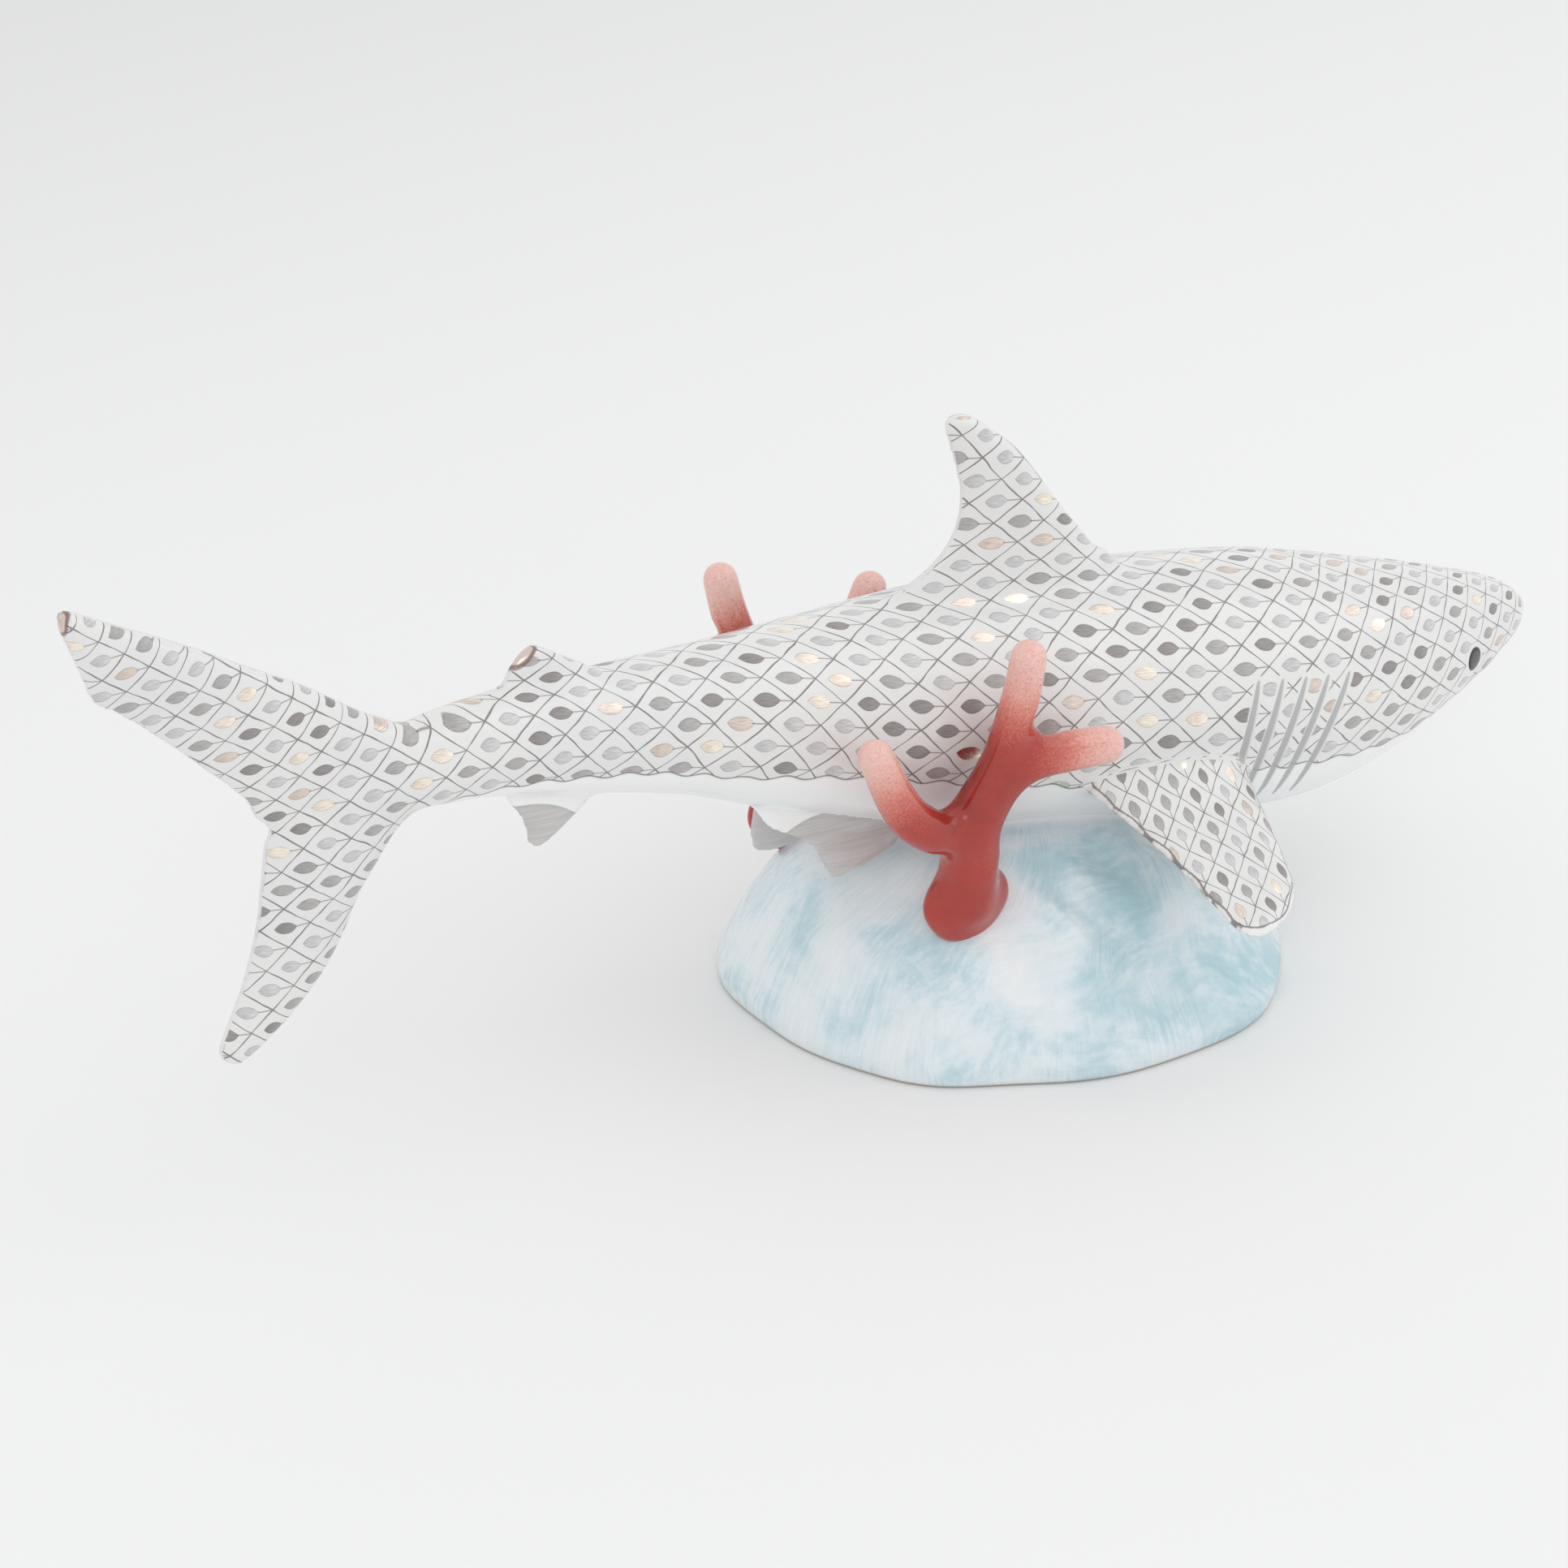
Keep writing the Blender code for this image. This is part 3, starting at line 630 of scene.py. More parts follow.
def pectoral_fin(spine: Spine, side: Side) -> Fin:
    """Return the pectoral fin of one side, drooping, swept back and nose down.

    Args:
        spine: The spine.
        side: Side of the shark.

    Returns:
        The fin.
    """
    station = 24.4
    root_angle = 20.0
    droop = math.radians(18.0)
    sweep = math.radians(7.0)
    pitch = math.radians(9.5)
    angle = -root_angle if side is Side.LEFT else root_angle - 180.0
    heading = spine.level_heading(station)
    sideways = unit(np.cross(UP, heading)) * side.value
    level = sideways * math.cos(sweep) - heading * math.sin(sweep)
    return Fin(
        spine.skin_point(station, angle),
        heading * math.cos(pitch) - UP * math.sin(pitch),
        level * math.cos(droop) - UP * math.sin(droop),
        (
            (-0.32, 0.52, -0.52), (0.00, 0.52, -0.51), (0.12, 0.498, -0.45),
            (0.32, 0.475, -0.345), (0.54, 0.44, -0.245), (0.72, 0.405, -0.19),
            (0.86, 0.315, -0.15), (0.94, 0.215, -0.12), (0.985, 0.12, -0.07),
        ),
        tip=(1.015, 0.02), height=43.0, chord=37.5,
        root_thickness=7.6, tip_thickness=3.6,
    )


def pelvic_fin(spine: Spine, side: Side) -> Fin:
    """Return the pelvic fin of one side. The left one stands further back and under.

    Args:
        spine: The spine.
        side: Side of the shark.

    Returns:
        The fin.
    """
    root_angle = 74.0
    station = -43.5
    splay = math.radians(22.0 - side.value * 8.0)
    angle = root_angle - 180.0
    rows = (
        (-0.45, 0.60, -0.45), (0.00, 0.60, -0.33), (0.35, 0.58, -0.14),
        (0.65, 0.52, -0.085), (0.84, 0.40, -0.065), (0.95, 0.20, -0.06),
    )
    if side is Side.LEFT:
        station -= 5.0
        angle = -root_angle - 10.0
        rows = (
            (-0.45, 0.60, -0.19), (0.00, 0.60, -0.16), (0.35, 0.58, -0.17),
            (0.65, 0.52, -0.15), (0.84, 0.40, -0.12), (0.95, 0.20, -0.10),
        )
    heading = spine.level_heading(station)
    sideways = unit(np.cross(UP, heading)) * side.value
    return Fin(
        spine.skin_point(station, angle), heading,
        sideways * math.sin(splay) - UP * math.cos(splay),
        rows, tip=(1.01, 0.0), height=13.0, chord=33.0,
        root_thickness=5.4, tip_thickness=3.4,
    )


class Sketch:
    """Writes the shader nodes of one material."""

    def __init__(self, name: str) -> None:
        """Start a material that holds one Principled shader and its output.

        Args:
            name: Name of the material.
        """
        self.material = bpy.data.materials.new(name)
        self.material.use_nodes = True
        self.tree = self.material.node_tree
        self.shader = self.tree.nodes["Principled BSDF"]

    def node(self, kind: str, **settings: object) -> bpy.types.Node:
        """Add a node and set its properties.

        Args:
            kind: Blender's name for the kind of node.
            settings: The node's properties.

        Returns:
            The node.
        """
        node = self.tree.nodes.new(kind)
        for name, value in settings.items():
            setattr(node, name, value)
        return node

    def feed(self, socket: Socket, value: object) -> None:
        """Link a socket to another, or set it to a constant.

        Args:
            socket: The input.
            value: A socket, number, vector or colour.
        """
        if isinstance(value, Socket):
            self.tree.links.new(value, socket)
        elif isinstance(value, tuple) and len(value) == 3 and socket.type == "RGBA":
            socket.default_value = (*value, 1.0)
        else:
            socket.default_value = value

    def maths(self, operation: str, *values: object) -> Socket:
        """Return the result of one Math node.

        Args:
            operation: Name of the operation.
            values: Its inputs.

        Returns:
            The result.
        """
        node = self.node("ShaderNodeMath", operation=operation)
        for socket, value in zip(node.inputs, values):
            self.feed(socket, value)
        return node.outputs[0]

    def times(self, first: object, second: object) -> Socket:
        """Return the product of two numbers."""
        return self.maths("MULTIPLY", first, second)

    def vector(self, operation: str, *values: object) -> Socket:
        """Return the result of one Vector Math node.

        Args:
            operation: Name of the operation.
            values: Its inputs.

        Returns:
            The result.
        """
        node = self.node("ShaderNodeVectorMath", operation=operation)
        for socket, value in zip(node.inputs, values):
            self.feed(socket, value)
        return node.outputs[0]

    def step(self, value: object, low: float, high: float, start: float = 0.0,
             end: float = 1.0) -> Socket:
        """Return a soft step of a value from start at low to end at high.

        Args:
            value: What is stepped over.
            low: Value where the step starts.
            high: Value where it ends.
            start: Result at low.
            end: Result at high.

        Returns:
            The result.
        """
        node = self.node("ShaderNodeMapRange", interpolation_type="SMOOTHSTEP")
        for name, entry in (("Value", value), ("From Min", low), ("From Max", high),
                            ("To Min", start), ("To Max", end)):
            self.feed(node.inputs[name], entry)
        return node.outputs[0]

    def mix(self, share: object, first: object, second: object) -> Socket:
        """Return the colour that runs from first to second by a share.

        Args:
            share: Share of the second colour.
            first: First colour.
            second: Second colour.

        Returns:
            The result.
        """
        node = self.node("ShaderNodeMix", data_type="RGBA")
        self.feed(node.inputs[0], share)
        self.feed(node.inputs[6], first)
        self.feed(node.inputs[7], second)
        return node.outputs[2]

    def blend(self, share: object, first: object, second: object) -> Socket:
        """Return the number that runs from first to second by a share.

        Args:
            share: Share of the second number.
            first: First number.
            second: Second number.

        Returns:
            The result.
        """
        node = self.node("ShaderNodeMix", data_type="FLOAT")
        for index, value in ((0, share), (2, first), (3, second)):
            self.feed(node.inputs[index], value)
        return node.outputs[0]

    def shaded(self, colour: object, light: object) -> Socket:
        """Return a colour multiplied by a number.

        Args:
            colour: The colour.
            light: The number.

        Returns:
            The result.
        """
        grey = self.node("ShaderNodeCombineColor")
        for socket in (grey.inputs[0], grey.inputs[1], grey.inputs[2]):
            self.feed(socket, light)
        node = self.node("ShaderNodeMix", data_type="RGBA", blend_type="MULTIPLY")
        for index, value in ((0, 1.0), (6, colour), (7, grey.outputs[0])):
            self.feed(node.inputs[index], value)
        return node.outputs[2]

    def number(self, name: str) -> Socket:
        """Return a number painted on the mesh's points."""
        return self.node("ShaderNodeAttribute", attribute_name=name).outputs["Fac"]

    def painted(self, name: str) -> Socket:
        """Return a vector painted on the mesh's points."""
        return self.node("ShaderNodeAttribute", attribute_name=name).outputs["Vector"]

    def noise(self, place: object, scale: float, detail: float = 2.0, roughness: float = 0.5,
              distortion: float = 0.0, colour: bool = False) -> Socket:
        """Return fractal noise over a place, as a number or as a colour.

        Args:
            place: Where the noise is read.
            scale: Its fineness.
            detail: Number of finer layers.
            roughness: Weight of finer layers.
            distortion: How far it is warped.
            colour: Whether the result is a colour.

        Returns:
            The result.
        """
        node = self.node("ShaderNodeTexNoise")
        for name, entry in (("Vector", place), ("Scale", scale), ("Detail", detail),
                            ("Roughness", roughness), ("Distortion", distortion)):
            self.feed(node.inputs[name], entry)
        return node.outputs["Color" if colour else "Fac"]

    def place(self, scale: Row = (1.0, 1.0, 1.0), turn: Row = (0.0, 0.0, 0.0),
              source: object = None) -> Socket:
        """Return the object's coordinates, or another place, turned and scaled.

        Args:
            scale: Scale along each axis.
            turn: Turn about each axis in degrees.
            source: Another place, or None for the object's own.

        Returns:
            The result.
        """
        if source is None:
            source = self.node("ShaderNodeTexCoord").outputs["Object"]
        node = self.node("ShaderNodeMapping")
        self.feed(node.inputs["Vector"], source)
        node.inputs["Rotation"].default_value = [math.radians(value) for value in turn]
        node.inputs["Scale"].default_value = scale
        return node.outputs[0]

    def bump(self, height: object, distance: float, strength: float) -> None:
        """Feed a bump of the given height and strength to the shader.

        Args:
            height: The height.
            distance: Metres to a height of one.
            strength: Share of the bump that shows.
        """
        node = self.node("ShaderNodeBump")
        self.feed(node.inputs["Height"], height)
        node.inputs["Distance"].default_value = distance
        node.inputs["Strength"].default_value = strength
        self.feed(self.shader.inputs["Normal"], node.outputs[0])

    def constants(self, values: dict[str, float]) -> None:
        """Set the shader's own sockets."""
        for name, value in values.items():
            self.shader.inputs[name].default_value = value


@dataclass(frozen=True)
class PaintedShark:
    """White glaze with a grey lozenge trellis, leaf dabs, grey washes and gilt tips."""

    white: Colour = (0.79, 0.79, 0.78)
    thin_white: Colour = (0.76, 0.765, 0.76)
    # belly: the same white glaze painted brighter, as painted light from below
    belly: Colour = (0.90, 0.905, 0.90)
    line: Colour = (0.155, 0.13, 0.125)
    light_grey: Colour = (0.58, 0.58, 0.585)
    mid_grey: Colour = (0.42, 0.405, 0.40)
    dark_grey: Colour = (0.28, 0.265, 0.26)
    gold: Colour = (0.90, 0.805, 0.69)
    rose_gold: Colour = (0.72, 0.62, 0.55)
    gilt_edge: Colour = (0.12, 0.05, 0.035)
    wash: Colour = (0.47, 0.45, 0.445)
    gill: Colour = (0.45, 0.45, 0.455)
    eye: Colour = (0.085, 0.08, 0.085)
    eye_rim: Colour = (0.02, 0.018, 0.02)
    # Drawn pattern, in trellis cells
    hand_wobble: float = 0.16
    line_half_width: float = 0.0185
    leaf_half_length: float = 0.235
    leaf_half_width: float = 0.155
    # Strokes along edges, in millimetres
    border_half_width: float = 0.17
    seam_half_width: float = 0.16
    gilt_rim_half_width: float = 0.28
    # Strength of each stroke over the colour below it
    line_strength: float = 0.88
    stalk_strength: float = 0.75
    border_strength: float = 0.8
    seam_strength: float = 0.8
    gilt_rim_strength: float = 0.7
    gill_strength: float = 0.85
    # Distances over which the pattern fades in beside each feature
    clearings: tuple[tuple[str, float, float], ...] = (
        ("edge", -0.02, 0.12), ("seam", 0.55, 0.75), ("rim", 0.35, 0.65),
        ("gill_reach", 1.0, 1.5), ("eye", 1.25, 1.5),
    )
    glaze_roughness: float = 0.16
    gold_roughness: float = 0.24
    relief_height: float = 0.0002
    relief_strength: float = 0.55

    def material(self) -> bpy.types.Material:
        """Return the painted glaze.

        Returns:
            The material.
        """
        pad = Sketch("painted_shark_glaze")
        chart = pad.painted("chart")
        wobble = pad.noise(chart, 0.9, 2.0, 0.55, colour=True)
        wobble = pad.vector("SUBTRACT", wobble, (0.5, 0.5, 0.5))
        drawn = pad.vector("ADD", chart, pad.vector(
            "MULTIPLY", wobble, (self.hand_wobble, self.hand_wobble, 0.0)))
        parts = pad.node("ShaderNodeSeparateXYZ")
        pad.feed(parts.inputs[0], drawn)
        rising = pad.maths("ADD", parts.outputs[0], parts.outputs[1])
        falling = pad.maths("SUBTRACT", parts.outputs[0], parts.outputs[1])
        leaf, stalk, tone, metal = self.leaves(pad, drawn, rising, falling)
        line = pad.maths("MAXIMUM", self.trellis_lines(pad, drawn, rising, falling),
                         pad.times(stalk, self.stalk_strength))
        clear = self.clear_share(pad)
        line = pad.times(line, clear)
        leaf = pad.times(leaf, clear)
        colour = pad.mix(leaf, self.ground(pad), tone)
        colour = pad.mix(pad.times(line, self.line_strength), colour, self.line)
        colour = pad.mix(self.borders(pad), colour, self.line)
        colour = self.washes(pad, colour)
        colour, gilt = self.gilding(pad, colour)
        pad.feed(pad.shader.inputs["Base Color"], self.face(pad, colour))
        self.shine(pad, pad.maths("MAXIMUM", pad.times(metal, leaf), gilt))
        ripple = pad.noise(pad.place(), 55.0, 2.0)
        relief = pad.maths("ADD", pad.times(ripple, 0.6),
                           pad.times(pad.maths("MAXIMUM", line, leaf), 0.12))
        pad.bump(relief, self.relief_height, self.relief_strength)
        return pad.material

    def clear_share(self, pad: Sketch) -> Socket:
        """Return where the pattern is painted, clear of its edge, seams, rims and face.

        Args:
            pad: The sketch.

        Returns:
            The result.
        """
        shares = [pad.step(pad.number(name), low, high) for name, low, high in self.clearings]
        clear = shares[0]
        for share in shares[1:]:
            clear = pad.times(clear, share)
        return clear

    def ground(self, pad: Sketch) -> Socket:
        """Return the white under the pattern, thinner in clouds and painted brighter on the belly as
        painted light from below.

        Args:
            pad: The sketch.

        Returns:
            The result.
        """
        cloud = pad.noise(pad.place(), 30.0, 3.0)
        white = pad.mix(pad.step(cloud, 0.35, 0.7), self.white, self.thin_white)
        # painted light: the white below the pattern's edge is painted brighter
        return pad.mix(pad.step(pad.number("edge"), 0.2, -1.0), white, self.belly)

    def borders(self, pad: Sketch) -> Socket:
        """Return the strokes along the pattern's edge and the pectoral fins' seams.

        Args:
            pad: The sketch.

        Returns:
            The result.
        """
        border = self.stroke(pad, pad.number("edge"), self.border_half_width)
        seam = self.stroke(pad, pad.number("seam"), self.seam_half_width)
        seam = pad.times(seam, self.seam_strength)
        return pad.times(pad.maths("MAXIMUM", border, seam), self.border_strength)

    def face(self, pad: Sketch, colour: Socket) -> Socket:
        """Return the colour with the gill strokes and the eyes over it.

        Args:
            pad: The sketch.
            colour: The colour so far.

        Returns:
            The result.
        """
        gill = pad.step(pad.number("gill"), 0.02, 0.4)
        colour = pad.mix(pad.times(gill, self.gill_strength), colour, self.gill)
        eye = pad.number("eye")
        iris = pad.mix(pad.step(eye, 0.55, 0.85), self.eye, self.eye_rim)
        return pad.mix(pad.step(eye, 1.06, 0.92), colour, iris)

    def shine(self, pad: Sketch, metal: Socket) -> None:
        """Feed the shader its metal, its slightly uneven roughness and its coat.

        Args:
            pad: The sketch.
            metal: Where the glaze is metal.
        """
        pad.feed(pad.shader.inputs["Metallic"], metal)
        streaks = pad.noise(pad.place(), 900.0, 2.0)
        glaze = pad.step(streaks, 0.2, 0.8, self.glaze_roughness - 0.03,
                         self.glaze_roughness + 0.03)
        gold = pad.step(streaks, 0.2, 0.8, self.gold_roughness - 0.06,
                        self.gold_roughness + 0.08)
        pad.feed(pad.shader.inputs["Roughness"], pad.blend(metal, glaze, gold))
        pad.constants({"IOR": 1.5, "Coat Weight": 0.2, "Coat Roughness": 0.05})

    def stroke(self, pad: Sketch, distance: Socket, half_width: float) -> Socket:
        """Return a thin stroke where a distance in millimetres passes through zero."""
        return pad.step(pad.maths("ABSOLUTE", distance), half_width * 1.6, half_width * 0.6)

    def trellis_lines(self, pad: Sketch, drawn: Socket, rising: Socket, falling: Socket) -> Socket:
        """Return the two families of crossing lines, with a brush's varying pressure.

        Args:
            pad: The sketch.
            drawn: Chart place.
            rising: Count of rising rows.
            falling: Count of falling rows.

        Returns:
            The result.
        """
        reaches = []
        for course in (rising, falling):
            part = pad.maths("FRACT", course)
            reaches.append(pad.maths("MINIMUM", part, pad.maths("SUBTRACT", 1.0, part)))
        reach = pad.maths("MINIMUM", *reaches)
        pressure = pad.step(pad.noise(drawn, 2.2, 1.0), 0.3, 0.7, 0.65, 1.35)
        reach = pad.maths("DIVIDE", reach, pressure)
        return pad.step(reach, self.line_half_width * 1.5, self.line_half_width * 0.55)

    def leaves(self, pad: Sketch, drawn: Socket, rising: Socket,
               falling: Socket) -> tuple[Socket, ...]:
        """Return each cell's leaf: where it and its stalk lie, its tone and where it is gold.

        Args:
            pad: The sketch.
            drawn: Chart place.
            rising: Count of rising rows.
            falling: Count of falling rows.

        Returns:
            Sockets of the leaf, its stalk, its tone and its gold.
        """
        cell = pad.node("ShaderNodeCombineXYZ")
        pad.feed(cell.inputs[0], pad.maths("FLOOR", rising))
        pad.feed(cell.inputs[1], pad.maths("FLOOR", falling))
        chance = pad.node("ShaderNodeTexWhiteNoise", noise_dimensions="2D")
        pad.feed(chance.inputs["Vector"], cell.outputs[0])
        draw = chance.outputs["Value"]
        first = pad.maths("FRACT", rising)
        second = pad.maths("FRACT", falling)
        middle = pad.times(pad.maths("ADD", first, second), 0.5)
        along = pad.maths("SUBTRACT", middle, 0.5)
        across = pad.times(pad.maths("SUBTRACT", first, second), 0.5)
        swing = pad.step(draw, 0.0, 1.0, 0.92, 1.12)
        reach = pad.maths("DIVIDE", along, pad.times(swing, self.leaf_half_length))
        width = pad.maths("DIVIDE", pad.maths("ABSOLUTE", across), self.leaf_half_width)
        taper = pad.maths("POWER", pad.maths("ABSOLUTE", reach), 2.2)
        fill = pad.maths("SUBTRACT", pad.maths("SUBTRACT", 1.0, taper), width)
        leaf = pad.step(fill, -0.06, 0.10)
        stalk = pad.times(pad.step(pad.maths("ABSOLUTE", across), 0.020, 0.008),
                          pad.step(along, 0.19, 0.22))

        shades = pad.node("ShaderNodeValToRGB")
        shades.color_ramp.interpolation = "CONSTANT"
        tones = ((0.0, self.light_grey), (0.38, self.dark_grey), (0.58, self.mid_grey),
                 (0.84, self.gold), (0.92, self.rose_gold))
        while len(shades.color_ramp.elements) < len(tones):
            shades.color_ramp.elements.new(0.5)
        for element, (start, tone) in zip(shades.color_ramp.elements, tones):
            element.position = start
            element.color = (*tone, 1.0)
        pad.feed(shades.inputs[0], draw)
        hairs = pad.noise(pad.place((3.0, 34.0, 1.0), source=drawn), 1.6, 2.0)
        light = pad.step(hairs, 0.25, 0.75, 0.80, 1.22)
        light = pad.times(light, pad.step(fill, 0.0, 0.30, 0.74, 1.0))
        light = pad.times(light, pad.step(along, -0.25, 0.25, 0.90, 1.10))
        metal = pad.maths("GREATER_THAN", draw, tones[3][0])
        return leaf, stalk, pad.shaded(shades.outputs[0], light), metal

    def washes(self, pad: Sketch, colour: Socket) -> Socket:
        """Return the colour with the grey washes of the under fins laid over it.

        Args:
            pad: The sketch.
            colour: The colour so far.

        Returns:
            The result.
        """
        wash = pad.number("wash")
        hairs = pad.noise(pad.place((110.0, 110.0, 1700.0)), 1.0, 3.0)
        pooled = pad.step(pad.maths("ABSOLUTE", wash), 0.9, 0.0, 0.0, 0.14)
        share = pad.maths("ADD", pad.step(hairs, 0.2, 0.8, 0.68, 0.92), pooled)
        share = pad.times(pad.step(wash, -0.22, 0.22), share)
        return pad.mix(share, colour, self.wash)

    def gilding(self, pad: Sketch, colour: Socket) -> tuple[Socket, ...]:
        """Return the colour with gilt fin tips over it, and where they are.

        Args:
            pad: The sketch.
            colour: The colour so far.

        Returns:
            Sockets of the colour and of the gilt.
        """
        reach = pad.number("gilt")
        gilt = pad.step(reach, -0.05, 0.10)
        rim = self.stroke(pad, pad.maths("SUBTRACT", reach, 0.1), self.gilt_rim_half_width)
        rim = pad.times(rim, self.gilt_rim_strength)
        colour = pad.mix(gilt, colour, self.rose_gold)
        return pad.mix(rim, colour, self.gilt_edge), gilt


@dataclass(frozen=True)
class WaveGlaze:
    """White glaze brushed with pale turquoise strokes, over a buff unglazed foot rim."""

    white: Colour = (0.84, 0.865, 0.88)
    pale: Colour = (0.68, 0.79, 0.835)
    strong: Colour = (0.43, 0.63, 0.69)
    clay: Colour = (0.42, 0.36, 0.29)
    # Share of each layer in the depth of colour
    area_weight: float = 0.56
    brush_weight: float = 0.30
    pool_weight: float = 0.38
    hair_weight: float = 0.12
    # Depths over which each turquoise comes in
    pale_depths: Row = (0.12, 1.0)
    strong_depths: Row = (0.62, 1.25)
    slant: float = -52.0
    glaze_roughness: float = 0.18
    clay_roughness: float = 0.75

    def strokes(self, pad: Sketch) -> Socket:
        """Return fine soft brush strokes at one slant.

        Args:
            pad: The sketch.

        Returns:
            The result.
        """
        bend = pad.noise(pad.place(), 29.0, 2.0, colour=True)
        bent = pad.vector("ADD", pad.place(), pad.vector("MULTIPLY", bend, (0.02, 0.02, 0.02)))
        slanted = pad.place((110.0, 700.0, 330.0), (0.0, 0.0, self.slant), bent)
        return pad.noise(slanted, 1.0, 4.0, 0.6)

    def material(self) -> bpy.types.Material:
        """Return the brushed glaze.

        Returns:
            The material.
        """
        pad = Sketch("wave_brushed_glaze")
        bend = pad.noise(pad.place(), 45.0, 2.0, colour=True)
        bent = pad.vector("ADD", pad.painted("flow"),
                          pad.vector("MULTIPLY", bend, (5.0, 5.0, 0.0)))
        area = pad.step(pad.noise(pad.place(), 62.0, 4.0, 0.6, 0.5), 0.27, 0.73)
        choose = pad.step(pad.noise(pad.place(), 40.0, 1.0), 0.44, 0.58)
        brush = pad.blend(choose, pad.noise(bent, 0.85, 4.0, 0.66), self.strokes(pad))
        brush = pad.step(brush, 0.26, 0.74)
        hairs = pad.noise(pad.place(), 1500.0, 2.0)
        depth = pad.times(area, self.area_weight)
        for layer, weight in ((brush, self.brush_weight), (pad.number("tint"), self.pool_weight),
                              (hairs, self.hair_weight)):
            depth = pad.maths("ADD", depth, pad.times(layer, weight))
        bare = pad.number("bare")
        colour = self.white
        for tone, depths in ((self.pale, self.pale_depths), (self.strong, self.strong_depths)):
            share = pad.times(pad.step(depth, *depths), bare)
            colour = pad.mix(share, colour, tone)
        rim = pad.number("clay")
        colour = pad.mix(rim, colour, self.clay)
        pad.feed(pad.shader.inputs["Base Color"], colour)
        pad.feed(pad.shader.inputs["Roughness"], pad.step(rim, 0.0, 1.0, self.glaze_roughness,
                                                         self.clay_roughness))
        pad.constants({"IOR": 1.5, "Coat Weight": 0.15, "Coat Roughness": 0.06})
        pad.bump(pad.maths("ADD", brush, pad.times(hairs, 0.2)), 0.0003, 0.25)
        return pad.material


@dataclass(frozen=True)
class CoralGlaze:
    """Deep red glaze, painted darker in the crotches as painted shade, sprayed thin to pale pink at
    the tips.
    """

    red: Colour = (0.43, 0.038, 0.027)
    # deep: dark red of the sprayed specks and of the painted shade in the crotches
    deep: Colour = (0.22, 0.018, 0.014)
    pink: Colour = (0.86, 0.57, 0.51)
    rose: Colour = (0.68, 0.22, 0.17)
    # How far the sprayed specks and the soft clouds uneven the glaze
    spray_weight: float = 0.60
    cloud_weight: float = 0.35
    speck_strength: float = 0.35
    glaze_roughness: float = 0.05

    def material(self) -> bpy.types.Material:
        """Return the sprayed red glaze.

        Returns:
            The material.
        """
        pad = Sketch("coral_red_glaze")
        mottle = pad.noise(pad.place(), 260.0, 3.0, 0.6)
        spray = pad.noise(pad.place(), 2100.0, 2.0, 0.7)
        cloud = pad.noise(pad.place(), 90.0, 2.0)
        thick = pad.number("fade")
        for layer, weight in ((spray, self.spray_weight), (cloud, self.cloud_weight)):
            uneven = pad.times(pad.maths("SUBTRACT", layer, 0.5), weight)
            thick = pad.maths("ADD", thick, uneven)
        colour = pad.mix(pad.step(thick, 0.0, 0.60), self.pink, self.rose)
        colour = pad.mix(pad.step(thick, 0.38, 0.98), colour, self.red)
        # painted shade: deep red in the crotches, uneven by the mottle
        pool = pad.times(pad.number("pool"), pad.step(mottle, 0.25, 0.7, 0.35, 1.0))
        colour = pad.mix(pool, colour, self.deep)
        specks = pad.step(pad.noise(pad.place(), 1300.0, 1.0), 0.70, 0.76)
        colour = pad.mix(pad.times(specks, self.speck_strength), colour, self.deep)
        pad.feed(pad.shader.inputs["Base Color"], colour)
        rough = pad.step(mottle, 0.2, 0.8, self.glaze_roughness - 0.02,
                         self.glaze_roughness + 0.05)
        pad.feed(pad.shader.inputs["Roughness"], rough)
        pad.constants({"IOR": 1.55})
        pad.bump(pad.noise(pad.place(), 120.0, 2.0), 0.0003, 0.3)
        return pad.material


@dataclass
class Kiln:
    """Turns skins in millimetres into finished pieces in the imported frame."""

    shift: Array

    def to_frame(self, points: Array) -> Array:
        """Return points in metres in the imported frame."""
        return (points + self.shift) * MM

    def piece(self, name: str, skin: Skin, material: bpy.types.Material,
              painted: dict[str, Array]) -> bpy.types.Object:
        """Make one smooth-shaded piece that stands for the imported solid.

        Args:
            name: Name of the piece.
            skin: Its surface in millimetres.
            material: Its finish.
            painted: Numbers or vectors for each point, by name.

        Returns:
            The piece.
        """
        mesh = bpy.data.meshes.new(name)
        mesh.from_pydata(self.to_frame(skin.points).tolist(), [], skin.faces)
        mesh.polygons.foreach_set("use_smooth", [True] * len(mesh.polygons))
        for key, values in painted.items():
            kind = "FLOAT_VECTOR" if values.ndim == 2 else "FLOAT"
            layer = mesh.attributes.new(key, kind, "POINT")
            layer.data.foreach_set("vector" if values.ndim == 2 else "value",
                                   np.ascontiguousarray(values, dtype=np.float32).ravel())
        mesh.materials.append(material)
        mesh.update()
        item = bpy.data.objects.new(name, mesh)
        bpy.context.scene.collection.objects.link(item)
        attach(item, BODY)
        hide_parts(NODE)
        log.info("%s: %d points, %d faces", name, len(skin.points), len(skin.faces))
        return item


def read_skin(mesh: bpy.types.Mesh) -> Skin:
    """Return a Blender mesh in metres as a skin in millimetres.

    Args:
        mesh: The mesh.

    Returns:
        The skin.
    """
    points = np.empty(len(mesh.vertices) * 3, dtype=np.float32)
    mesh.vertices.foreach_get("co", points)
    faces = [list(face.vertices) for face in mesh.polygons]
    return Skin(points.reshape(-1, 3).astype(float) / MM, faces)


